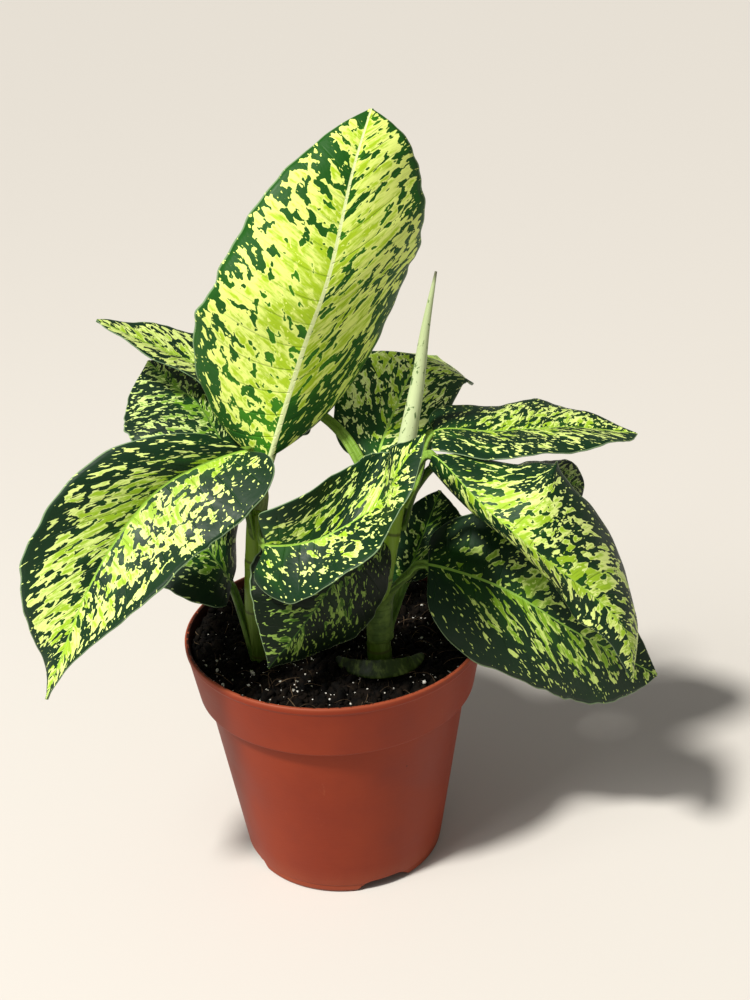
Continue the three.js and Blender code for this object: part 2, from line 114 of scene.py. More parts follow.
# small tools for meshes
def meshObject(name, points, faces, smooth=True):
    mesh = bpy.data.meshes.new(name)
    mesh.from_pydata([tuple(map(float, p)) for p in points], [], faces)
    mesh.update()
    if smooth:
        mesh.shade_smooth()
    return linked(name, mesh)


def linked(name, mesh):
    piece = bpy.data.objects.new(name, mesh)
    scene.collection.objects.link(piece)
    return piece


def closedOutwards(mesh):  # turns every face round if the solid is inside out
    shape = bmesh.new()
    shape.from_mesh(mesh)
    if shape.calc_volume(signed=True) < 0:
        bmesh.ops.reverse_faces(shape, faces=shape.faces)
        shape.to_mesh(mesh)
    shape.free()


def ringQuads(first, second, size):  # quads between two rings that start at these points
    following = lambda j: (j + 1) % size
    return [(first + j, first + following(j), second + following(j), second + j) for j in range(size)]


def tubeFaces(ringCount, ringSize):  # quads round a stack of rings, with one face on each end
    faces = []
    for i in range(ringCount - 1):
        faces.extend(ringQuads(i * ringSize, (i + 1) * ringSize, ringSize))
    last = (ringCount - 1) * ringSize
    faces.append(tuple(reversed(range(ringSize))))
    faces.append(tuple(range(last, last + ringSize)))
    return faces


def addAttribute(mesh, name, values):
    values = np.asarray(values, np.float32)
    kind, field = ("FLOAT_VECTOR", "vector") if values.ndim == 2 else ("FLOAT", "value")
    mesh.attributes.new(name, kind, "POINT").data.foreach_set(field, values.ravel())


def evaluatedMesh(piece):  # what the modifiers make, as a plain mesh
    finished = piece.evaluated_get(bpy.context.evaluated_depsgraph_get())
    return bpy.data.meshes.new_from_object(finished)


def standsFor(piece, slot, *nodes):
    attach(piece, "root")
    if nodes:
        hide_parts(*nodes)


# small tools for shader nodes
def fillNode(tree, kind, inputs, **settings):  # links or fills the inputs after the node's own settings
    node = tree.nodes.new(kind)
    for name, value in settings.items():
        setattr(node, name, value)
    for name, value in inputs.items():
        if isinstance(value, bpy.types.NodeSocket):
            tree.links.new(value, node.inputs[name])
        else:
            node.inputs[name].default_value = value
    return node


def addNode(tree, kind, inputs=None, **settings):
    return fillNode(tree, "ShaderNode" + kind, inputs or {}, **settings)


def calc(tree, operation, *values):
    return addNode(tree, "Math", dict(enumerate(values)), operation=operation).outputs[0]


def sums(tree):  # plus, less and times for one tree
    return [lambda a, b, kind=kind: calc(tree, kind, a, b) for kind in ("ADD", "SUBTRACT", "MULTIPLY")]


def step(tree, value, low, high, bottom=0.0, top=1.0):  # a smooth step from bottom to top
    sockets = {"Value": value, "From Min": low, "From Max": high, "To Min": bottom, "To Max": top}
    return addNode(tree, "MapRange", sockets, interpolation_type="SMOOTHSTEP").outputs[0]


def blend(tree, share, first, second):  # mixes two colours
    return addNode(tree, "Mix", {0: share, 6: first, 7: second}, data_type="RGBA").outputs[2]


def grain(tree, place, scale, detail=2.0, roughness=0.5, distortion=0.0):
    sockets = {"Vector": place, "Scale": scale, "Detail": detail, "Roughness": roughness}
    sockets["Distortion"] = distortion
    return addNode(tree, "TexNoise", sockets).outputs[0]


def vector(tree, x, y, z):
    return addNode(tree, "CombineXYZ", {0: x, 1: y, 2: z}).outputs[0]


def split(tree, place):
    return addNode(tree, "SeparateXYZ", {0: place}).outputs


def stretched(tree, place, level, upright):  # a place scaled by one value sideways and another upwards
    sizes = {0: place, 1: (level, level, upright)}
    return addNode(tree, "VectorMath", sizes, operation="MULTIPLY").outputs[0]


def attribute(tree, name, output="Fac"):
    return addNode(tree, "Attribute", attribute_name=name).outputs[output]


def objectPlace(tree):
    return addNode(tree, "TexCoord").outputs["Object"]


surfaceOutputs = [("Colour", "Color"), ("Roughness", "Float"), ("Height", "Float")]


def makeGroup(name, inputs):
    tree = bpy.data.node_groups.new(name, "ShaderNodeTree")
    for side, sockets in (("INPUT", inputs), ("OUTPUT", surfaceOutputs)):
        for label, kind, *start in sockets:
            socket = tree.interface.new_socket(label, in_out=side, socket_type="NodeSocket" + kind)
            if start:
                socket.default_value = start[0]
    return tree, tree.nodes.new("NodeGroupInput").outputs


def finishGroup(tree, *values):  # the colour, roughness and height that a group puts out
    result = tree.nodes.new("NodeGroupOutput").inputs
    for (name, _), value in zip(surfaceOutputs, values):
        tree.links.new(value, result[name])
    return tree


def makeMaterial(name, shaderValues):
    material = bpy.data.materials.new(name)
    material.use_nodes = True
    tree = material.node_tree
    shader = tree.nodes["Principled BSDF"]
    for key, value in shaderValues.items():
        shader.inputs[key].default_value = value
    return material, tree, shader


def useGroup(tree, shader, group, inputs, bumpHeight):
    made = addNode(tree, "Group", inputs, node_tree=group).outputs
    tree.links.new(made["Colour"], shader.inputs["Base Color"])
    tree.links.new(made["Roughness"], shader.inputs["Roughness"])
    bump = addNode(tree, "Bump", {"Height": made["Height"], "Distance": bumpHeight, "Strength": 1.0})
    tree.links.new(bump.outputs[0], shader.inputs["Normal"])


def colour(red, green, blue):  # from the 0 to 255 of a screen
    return (*[(c / 255) ** 2.2 for c in (red, green, blue)], 1)


# Leaves. A route runs up the petiole and along the midrib, and the blade begins at its point "base".
# Pairs hold first the half on the side away from "across" and then the half towards it.
# "lime" to "rounder" set the leaf's pattern.
blade = {
    "thickness": 0.75, "marginThickness": 0.3, "marginShare": 8,
    "ribWidth": (1.9, 0.45), "ribDepth": (1.9, 0.3), "ribRound": 0.7, "edge": (1.2, 0.35),
    "tail": 2.2, "fullest": 0.84, "forwardSweep": 0.18, "sweepBend": 1.3, "lobeAt": 0.05,
    "waver": ((0.012, 47, 2), (0.008, 93, 1)), "rippleShift": 0.4,  # waver: size, beat and shift
    "sideVeins": 15, "veinDepth": 0.16, "veinWidth": 0.22, "midwaySink": 0.27,
    "rows": 110, "rowSpacing": 1.3, "columns": 18, "columnSpacing": 1.25,
}
petiole = {
    "rows": 40, "sheath": (0.45, 0.32), "sheathWidth": 0.3, "wing": 0.75, "wingBend": 2.5,
    "crown": 0.55, "channelDepth": 0.35, "channelWidth": 0.45, "patternShare": 0.1,
}
leaves = {
    "leaf_tall": {
        "route": ((-27, -13, 156), (-24, -10, 169), (-20, -16, 183), (-6, -19, 223), (5, -19, 251),
                  (15, -5, 283), (23, 12, 301)),
        "base": 2, "across": ((0.9, -0.2, 0.3), (0.9, 0.4, -0.1), (1, 0.1, 0.1)),
        "width": (41, 42), "fold": ((-15, 24), (-15, 3)), "curl": ((-49, -21), (-47, -34)),
        "lobe": 0.01, "blunt": 7.5, "taper": 1.2, "wave": (1.6, 3.5), "foot": 2.9,
        "slot": "leaf_lime", "tone": "young", "seed": 5,
        "lime": 0.572, "speckle": 0.6, "fade": 0.06, "size": 1.35, "rib": 0.55, "pale": 0.07,
    },
    "leaf_left_low": {
        "route": ((-28, -14, 151), (-29, -18, 164), (-31, -16, 175), (-28, -18, 187), (-54, -28, 182),
                  (-71, -35, 169), (-87, -47, 148), (-105, -57, 111)),
        "base": 3, "across": ((-0.8, -0.2, 0.6), (-0.7, -0.7, 0.3), (-0.7, 0.7, -0.3)),
        "width": (32, 29), "fold": ((55, 22), (9, 1)), "curl": ((10, -14), (-30, -38)),
        "lobe": 0.03, "blunt": 5.5, "taper": 1.7, "wave": (1.8, 3), "foot": 2.2,
        "slot": "leaf_speckled", "tone": "bright", "seed": 11,
        "lime": 0.54, "speckle": 0.6, "fade": 0.14, "size": 1.1, "rib": 0.28, "pale": 0.03, "rounder": 1.35,
    },
    "leaf_left_high": {
        "route": ((21, -19, 137), (16, -15, 157), (13, -11, 177), (-2, 6, 191), (-40, 29, 201),
                  (-68, 28, 216), (-84, 31, 224)),
        "base": 3, "across": ((0.7, 0.5, 0.6), (-0.2, 1, 0), (0.1, 1, 0)),
        "width": (19, 23), "fold": ((19, 16), (21, 11)), "curl": ((-20, -19), (-18, -24)),
        "lobe": 0.1, "blunt": 4.5, "taper": 1.2, "wave": (1.2, 3), "foot": 3,
        "slot": "leaf_speckled", "tone": "bright", "seed": 19,
        "lime": 0.56, "speckle": 0.6, "fade": 0.12, "size": 1.0, "rib": 0.25, "pale": 0.06,
    },
    "leaf_left_mid": {
        "route": ((-28, -12, 150), (-29, -6, 159), (-31, -5, 168), (-35, -2, 177), (-47, 15, 193),
                  (-58, 29, 197), (-68, 44, 202)),
        "base": 3, "across": ((0.7, 0.5, 0.4), (0.8, 0.6, 0.3), (0.7, 0.6, 0.4)),
        "width": (29, 27), "fold": ((14, 11), (-15, -7)), "curl": ((-24, -24), (-37, -31)),
        "lobe": 0.07, "blunt": 5, "taper": 1.3, "wave": (1, 3), "foot": 2,
        "slot": "leaf_dark", "tone": "dark", "seed": 23,
        "lime": 0.475, "speckle": 1.0, "fade": 0.14, "size": 0.9, "rib": 0.22,
    },
    "leaf_left_small": {
        "route": ((-29, -12, 76), (-34, -14, 110), (-39, -6, 126), (-46, -3, 138), (-64, 19, 157)),
        "base": 2, "across": ((0.3, 0.9, 0.3), (0.7, 0.5, 0.5), (0.7, 0.4, 0.6)),
        "width": (24, 24), "fold": ((21, 11), (3, 10)), "curl": ((-19, -24), (-31, -25)),
        "lobe": 0.06, "blunt": 4.5, "taper": 1.2, "wave": (0.8, 2.5), "foot": 1.9,
        "slot": "leaf_dark", "tone": "dark", "seed": 31,
        "lime": 0.455, "speckle": 0.7, "fade": 0.2, "size": 0.95, "rib": 0.22,
    },
    "leaf_centre": {
        "route": ((-30, -14, 109), (-27, -15, 135), (-25, -23, 158), (-23, -41, 160), (-4, -43, 162),
                  (18, -40, 173), (25, -46, 188), (35, -40, 199)),
        "base": 3, "across": ((-0.2, 0, -1), (-0.4, -0.9, -0.2), (0.3, -0.9, -0.2)),
        "width": (23, 23), "fold": ((27, 1), (21, 2)), "curl": ((-13, -33), (-18, -32)),
        "lobe": 0.07, "blunt": 6, "taper": 1.6, "wave": (1, 3.5), "foot": 2.4,
        "slot": "leaf_speckled", "tone": "bright", "seed": 37,
        "lime": 0.51, "speckle": 0.8, "fade": 0.42, "size": 1.0, "rib": 0.2, "rounder": 1.2,
    },
    "leaf_front": {
        "route": ((18, -22, 124), (18, -27, 141), (17, -28, 156), (3, -39, 145), (-10, -45, 130),
                  (-25, -47, 112)),
        "base": 2, "across": ((-0.6, -0.2, 0.8), (-0.9, 0, 0.5), (-0.5, -0.3, 0.8)),
        "width": (29, 31), "fold": ((2, -1), (-10, 3)), "curl": ((-40, -38), (-38, -27)),
        "lobe": 0.07, "blunt": 4, "taper": 1.7, "wave": (1, 3), "foot": 2.3,
        "slot": "leaf_dark", "tone": "shade", "seed": 41,
        "lime": 0.44, "speckle": 0.7, "fade": 0.42, "size": 1.0, "rib": 0.16,
    },
    "leaf_back": {
        "route": ((23, -17, 150), (23, -9, 163), (20, -6, 176), (28, 11, 189), (37, 21, 203),
                  (43, 37, 200), (51, 86, 183)),
        "base": 2, "across": ((0.9, -0.2, -0.3), (0.8, 0.5, -0.4), (0.8, 0.6, -0.3)),
        "width": (28, 26), "fold": ((7, 0), (4, -12)), "curl": ((-23, -34), (-22, -40)),
        "lobe": 0.07, "blunt": 4, "taper": 1.2, "wave": (1, 3), "foot": 2.3,
        "slot": "leaf_speckled", "tone": "back", "seed": 47,
        "lime": 0.535, "speckle": 0.8, "fade": 0.14, "size": 1.0, "rib": 0.2, "pale": 0.01, "rounder": 1.3,
    },
    "leaf_right_flat": {
        "route": ((28, -15, 160), (34, -12, 171), (41, -5, 185), (65, 2, 181), (96, 14, 176),
                  (123, 16, 171)),
        "base": 2, "across": ((0, -1, -0.3), (-0.1, -1, -0.1), (0.4, -0.9, -0.1)),
        "width": (27, 28), "fold": ((5, 16), (21, 19)), "curl": ((-33, -21), (-23, -17)),
        "lobe": 0.07, "blunt": 3.5, "taper": 1.3, "wave": (1.2, 3), "foot": 2.2,
        "slot": "leaf_speckled", "tone": "bright", "seed": 53,
        "lime": 0.48, "speckle": 0.8, "fade": 0.2, "size": 0.9, "rib": 0.22, "pale": 0.04,
    },
    "leaf_right_drooping": {
        "route": ((25, -17, 160), (31, -21, 174), (39, -22, 183), (55, -42, 171), (72, -54, 158),
                  (103, -54, 127), (110, -51, 99)),
        "base": 2, "across": ((-0.9, -0.3, -0.4), (0.7, 0.4, -0.6), (-0.8, -0.5, 0.3)),
        "width": (39, 14), "fold": ((-20, -10), (-40, 5)), "curl": ((-53, -44), (-50, -24)),
        "lobe": 0.05, "blunt": 3, "taper": 1.5, "wave": (1.2, 3), "foot": 2.3,
        "slot": "leaf_speckled", "tone": "bright", "seed": 61,
        "lime": 0.515, "speckle": 0.7, "fade": 0.16, "size": 1.1, "rib": 0.12, "pale": 0.03,
    },
    "leaf_right_low": {
        "route": ((17, -21, 108), (21, -20, 123), (29, -16, 131), (37, -18, 136), (65, -22, 126),
                  (92, -29, 109), (126, -24, 84)),
        "base": 3, "across": ((-0.1, -0.9, -0.4), (0.1, 0.1, -1), (-0.1, -0.3, -0.9)),
        "width": (31, 35), "fold": ((8, 9), (-5, 1)), "curl": ((-33, -26), (-37, -34)),
        "lobe": 0.04, "blunt": 5.5, "taper": 1.3, "wave": (1.4, 3), "foot": 3,
        "slot": "leaf_speckled", "tone": "deep", "seed": 67,
        "lime": 0.47, "speckle": 0.6, "fade": 0.36, "size": 1.25, "rib": 0.26,
        "clasp": {"cane": "stem_right", "facing": -38, "spread": (112, 62), "free": (0.30, 0.80),
                  "gap": 0.15, "thickness": (0.45, 1.1)},
    },
    "leaf_right_far": {
        "route": ((27, -16, 151), (34, -3, 162), (48, 9, 167), (75, 11, 158), (106, 31, 142)),
        "base": 2, "across": ((0.2, -1, 0.2), (0.1, -1, 0.2), (-0.2, -0.9, -0.3)),
        "width": (25, 28), "fold": ((-1, 16), (17, 14)), "curl": ((-40, -19), (-23, -21)),
        "lobe": 0.07, "blunt": 5, "taper": 0.9, "wave": (1, 3), "foot": 2,
        "slot": "leaf_dark", "tone": "dark", "seed": 71,
        "lime": 0.48, "speckle": 0.8, "fade": 0.14, "size": 0.9, "rib": 0.22,
    },
    "leaf_inner": {
        "route": ((17, -21, 100), (23, -13, 112), (28, -7, 122), (37, 5, 137), (45, 16, 151)),
        "base": 2, "across": ((1, 0.2, 0.2), (1, 0.2, 0.1), (0.9, 0.2, -0.4)),
        "width": (14, 16), "fold": ((15, 11), (16, 8)), "curl": ((-25, -25), (-24, -26)),
        "lobe": 0.07, "blunt": 5, "taper": 1.4, "wave": (0.6, 2), "foot": 1.9,
        "slot": "leaf_dark", "tone": "dark", "seed": 73,
        "lime": 0.42, "speckle": 0.6, "fade": 0.3, "size": 0.9, "rib": 0.2,
    },
}
tones = {  # dark ground, fresh ground, lime patch, pale patch and midrib
    "young": ((32, 80, 24), (58, 120, 24), (166, 198, 40), (224, 240, 124), (222, 234, 168)),
    "bright": ((20, 48, 26), (34, 74, 26), (152, 188, 44), (218, 236, 136), (150, 192, 72)),
    "deep": ((18, 44, 24), (28, 62, 22), (116, 154, 38), (190, 212, 114), (132, 172, 72)),
    # the back tone is painted light: lighter colours stand in for light on a leaf that the leaf in front
    # shades
    "back": ((28, 64, 28), (44, 92, 32), (174, 212, 56), (232, 248, 160), (158, 200, 84)),
    # the shade tone is painted shade: the front leaf is darkened as if the leaf over it shades it
    "shade": ((9, 26, 9), (16, 40, 10), (56, 90, 18), (128, 156, 72), (58, 92, 34)),
    "dark": ((18, 42, 24), (26, 60, 24), (100, 140, 38), (192, 212, 128), (90, 126, 50)),
}
pattern = {
    # each noise has its scale across and along the leaf, a shift, detail, roughness and distortion
    "broad": (0.06, 0.07, 6.1, 1.0, 0.5, 0.3), "blobs": (0.28, 0.31, 0.0, 1.2, 0.5, 0.4),
    "jagged": (0.68, 0.85, 2.3, 1.0, 0.5, 0.3), "dots": (0.5, 0.7, 3.7, 1.0, 0.5, 0.2),
    "streaks": (0.10, 0.34, 9.0, 3.0, 0.6, 0.0), "hair": (0.16, 2.6, 0.0, 2.0, 0.5, 0.0),
    "stalkMarks": (0.5, 0.12, 0.0, 3.0, 0.6, 0.0), "gloss": (0.12, 0.12, 0.0, 2.0, 0.5, 0.0),
    "lean": 0.8, "broadPart": 0.5, "jaggedPart": 0.3, "halfShift": 5.0,
    # each mask has the value where it begins and the value where it is whole
    "patchEdge": (0.994, 1.006), "speckEdge": (0.745, 0.765), "core": (1.02, 1.14), "cream": (0.32, 0.54),
    "hairs": (0.56, 0.70), "fresh": (0.42, 0.72), "vein": (0.10, 0.02), "veinEnd": (0.95, 0.6),
    "rib": (0.12, -0.12), "marginLine": (0.978, 0.992), "upperFace": (0.3, 0.7),
    "stalk": (0.004, -0.004), "stalkMark": (0.4, 0.65),
    "marginColour": (0.32, 0.46, 0.24, 1), "underside": (0.085, 0.165, 0.060, 1),
    "undersideRib": (0.42, 0.55, 0.28, 1), "bump": 0.0003,
    "stalkColours": ((0.045, 0.088, 0.012, 1), (0.110, 0.180, 0.030, 1)),
}


def unit(v):
    v = np.asarray(v, float)
    return v / (np.linalg.norm(v, axis=-1, keepdims=True) + 1e-12)


def between(pair, share):
    return pair[0] + (pair[1] - pair[0]) * share


def curvePoints(points, samples):  # a uniform Catmull-Rom curve through the points
    p = np.array(points, float)
    count = len(p)
    p = np.vstack([2 * p[0] - p[1], p, 2 * p[-1] - p[-2]])
    t = np.linspace(0, count - 1, samples + 1)
    i = np.minimum(t.astype(int), count - 2)
    w = (t - i)[:, None]
    p0, p1, p2, p3 = p[i], p[i + 1], p[i + 2], p[i + 3]
    v0, v1 = (p2 - p0) / 2, (p3 - p1) / 2
    return p1 + v0 * w + (-3 * p1 + 3 * p2 - 2 * v0 - v1) * w ** 2 + (2 * p1 - 2 * p2 + v0 + v1) * w ** 3


def leafPath(leaf, samples=240):
    points = curvePoints(leaf["route"], samples)
    lengths = np.concatenate([[0], np.cumsum(np.linalg.norm(np.diff(points, axis=0), axis=1))])
    start = lengths[int(round(leaf["base"] / (len(leaf["route"]) - 1) * samples))]
    length = lengths[-1] - start
    a = unit(leaf["across"])
    w = np.clip((lengths - start) / length, 0, 1)[:, None]
    side = unit(a[0] * (1 - w) ** 2 + a[1] * 2 * w * (1 - w) + a[2] * w * w)
    tangent = unit(np.vstack([points[1:], points[-1:]]) - np.vstack([points[:1], points[:-1]]))
    face = unit(np.cross(side, tangent))
    for i in range(samples - 1, -1, -1):  # down the petiole the upper side turns only as the curve does
        if lengths[i] < start:
            face[i] = unit(face[i + 1] - tangent[i] * face[i + 1].dot(tangent[i]))
            side[i] = np.cross(tangent[i], face[i])

    def at(distance):
        d = np.clip(distance, 0, lengths[-1])
        pick = lambda rows: np.stack([np.interp(d, lengths, rows[:, k]) for k in range(3)], -1)
        return pick(points), unit(pick(tangent)), unit(pick(side)), unit(pick(face))

    return at, start, length


def bladePoints(leaf, path, share, across, depth):  # the same surface as the CAD's, at any fineness
    at, start, length = path
    share, across = np.broadcast_arrays(np.asarray(share, float), np.asarray(across, float))
    half = (across >= 0).astype(int)
    sign = np.where(across >= 0, 1.0, -1.0)
    u = np.abs(across)
    pick = lambda key: np.where(half == 0, between(leaf[key][0], share), between(leaf[key][1], share))
    outline = np.sqrt(np.maximum(1 - (1 - share) ** leaf["blunt"], 0))
    outline = outline * (1 - share ** blade["tail"]) ** leaf["taper"] / blade["fullest"]
    spread = np.where(half == 0, *leaf["width"]) * outline
    wavers = [size * np.sin(share * beat + half * shift) for size, beat, shift in blade["waver"]]
    reach = between(blade["ribWidth"], share) + np.maximum(spread, between(blade["edge"], share))
    reach = u * reach * (1 + u ** 3 * sum(wavers))
    lobe = leaf["lobe"] * (share / blade["lobeAt"]) * np.exp(1 - share / blade["lobeAt"])
    along = share + (blade["forwardSweep"] * 4 * share * (1 - share) - lobe) * u ** blade["sweepBend"]
    distance = np.minimum(1, along) * length
    point, tangent, side, face = at(start + np.maximum(0, distance))
    fold = np.radians(pick("fold"))
    curl = np.radians(pick("curl")) * u
    wave, waves = leaf["wave"]
    ripple = wave * u ** 3 * outline * np.sin(2 * np.pi * (waves * share + half * blade["rippleShift"]))
    lean, tilt = fold + curl / 2, fold + curl
    flatness = np.sinc(curl / 2 / np.pi)
    place = point + tangent * np.minimum(0, distance)[..., None]
    place = place + side * (sign * (reach * np.cos(lean) * flatness + depth * np.sin(tilt)))[..., None]
    place = place + face * (reach * np.sin(lean) * flatness + ripple - depth * np.cos(tilt))[..., None]
    return place, sign * reach, distance


def veinRelief(share, across):  # how far the upper face sinks: deep at a vein, a little midway between two
    u = np.abs(across)
    phase = share * blade["sideVeins"] + (across > 0) * 0.5
    near = np.abs(phase - np.round(phase)) * 2
    fade = np.clip(u * 6, 0, 1) * np.clip((1 - u) * 5, 0, 1)  # flat at the midrib, margin, base and tip
    fade = fade * np.clip(share * 12, 0, 1) * np.clip((1 - share) * 5, 0, 1)
    sunk = np.exp(-(near / blade["veinWidth"]) ** 2) - blade["midwaySink"] * np.cos(near * np.pi)
    return blade["veinDepth"] * sunk * fade


def smooth(low, high, value):  # a smooth step from 0 to 1
    w = min(1, max(0, (value - low) / (high - low)))
    return w * w * (3 - 2 * w)


def claspCane(clasp, t, point, side, across, upper, lower):  # low down, the sheath wraps the cane
    cane = canes[clasp["cane"]]
    curve = curvePoints(cane["points"], 200)
    centre = np.array([np.interp(point[2], curve[:, 2], curve[:, k]) for k in range(3)])
    share = (point[2] - curve[0, 2]) / (curve[-1, 2] - curve[0, 2])
    radius = between(cane["radii"], share) + clasp["gap"]
    facing = math.radians(clasp["facing"])
    sign = 1 if side[1] * math.cos(facing) > side[0] * math.sin(facing) else -1
    spread = math.radians(between(clasp["spread"], smooth(0, clasp["free"][1], t)))
    angle = facing + sign * across * spread
    out = np.stack([np.cos(angle), np.sin(angle), np.zeros(len(angle))], 1)
    edge, bulge = clasp["thickness"]
    thick = edge + bulge * np.sqrt(np.maximum(1 - across ** 2, 0))
    wrapped = centre + out * radius
    outer = centre + out * (radius + thick)[:, None]
    w = smooth(*clasp["free"], t)
    return wrapped * (1 - w) + upper * w, outer * (1 - w) + lower * w


def leafPiece(name):
    leaf = leaves[name]
    path = leafPath(leaf)
    at, start, _ = path
    count = 2 * blade["columns"] + 1
    u = np.linspace(-1, 1, count)
    u = np.sign(u) * np.abs(u) ** blade["columnSpacing"]
    rings, shareOf, reachOf, upperOf, acrossOf, distanceOf = [], [], [], [], [], []
    bothFaces = lambda values: np.concatenate([values, values[::-1]])

    def keep(upper, lower, share, reach, across, distance):
        rings.append(np.clip(np.vstack([upper, lower[::-1]]) * mm, *cadBox))
        shareOf.extend([share] * 2 * count)
        reachOf.extend(bothFaces(reach))
        acrossOf.extend(bothFaces(across))
        distanceOf.extend(bothFaces(distance))
        upperOf.extend([1.0] * count + [0.0] * count)

    for i in range(petiole["rows"]):  # round below and channelled above
        t = i / petiole["rows"]
        point, _, side, face = at(start * t)
        radius = between((leaf["foot"], blade["ribWidth"][0]), t)
        angle = np.pi * (np.arange(count) + 0.4) / (count - 0.2)
        across = -np.cos(angle)
        sheath = smooth(*petiole["sheath"], t)
        wide = 1 + petiole["sheathWidth"] * sheath
        wing = radius * petiole["wing"] * (wide - 1) * np.abs(across) ** petiole["wingBend"]
        groove = np.exp(-(across / petiole["channelWidth"]) ** 2) * min(1, 0.2 + t * 3)
        channel = petiole["crown"] - (petiole["crown"] + petiole["channelDepth"] * sheath) * groove
        middle = point + side * (radius * wide * across)[:, None]
        upper = middle + face * (radius * np.sin(angle) * channel + wing)[:, None]
        lower = middle - face * (radius * np.sin(angle) - wing)[:, None]
        if "clasp" in leaf:
            upper, lower = claspCane(leaf["clasp"], t, point, side, across, upper, lower)
        distance = np.full(count, start * (t - 1))
        keep(upper, lower, t - 1, across * radius, across * petiole["patternShare"], distance)
    for i in range(blade["rows"] + 1):
        t = (i / blade["rows"]) ** blade["rowSpacing"]
        share = np.full(count, t)
        relief = veinRelief(share, u)
        place, reach, distance = bladePoints(leaf, path, share, u, relief)
        margin = np.clip((1 - np.abs(u)) * blade["marginShare"], 0, 1)
        ridge = np.clip(1 - (reach / between(blade["ribWidth"], t)) ** 2, 0, 1) ** blade["ribRound"]
        thick = between((blade["marginThickness"], blade["thickness"]), margin)
        depth = thick + between(blade["ribDepth"], t) * ridge + relief
        under = bladePoints(leaf, path, share, u, depth)[0]
        keep(place, under, t, reach, u, distance)
    piece = meshObject(name, np.vstack(rings), tubeFaces(len(rings), 2 * count))
    closedOutwards(piece.data)
    for label, values in (("share", shareOf), ("across", acrossOf), ("upper", upperOf)):
        addAttribute(piece.data, label, values)
    addAttribute(piece.data, "blade", np.stack([reachOf, distanceOf, np.zeros(len(reachOf))], 1))
    piece.data.materials.append(leafMaterial(name))
    standsFor(piece, leaf["slot"], name)


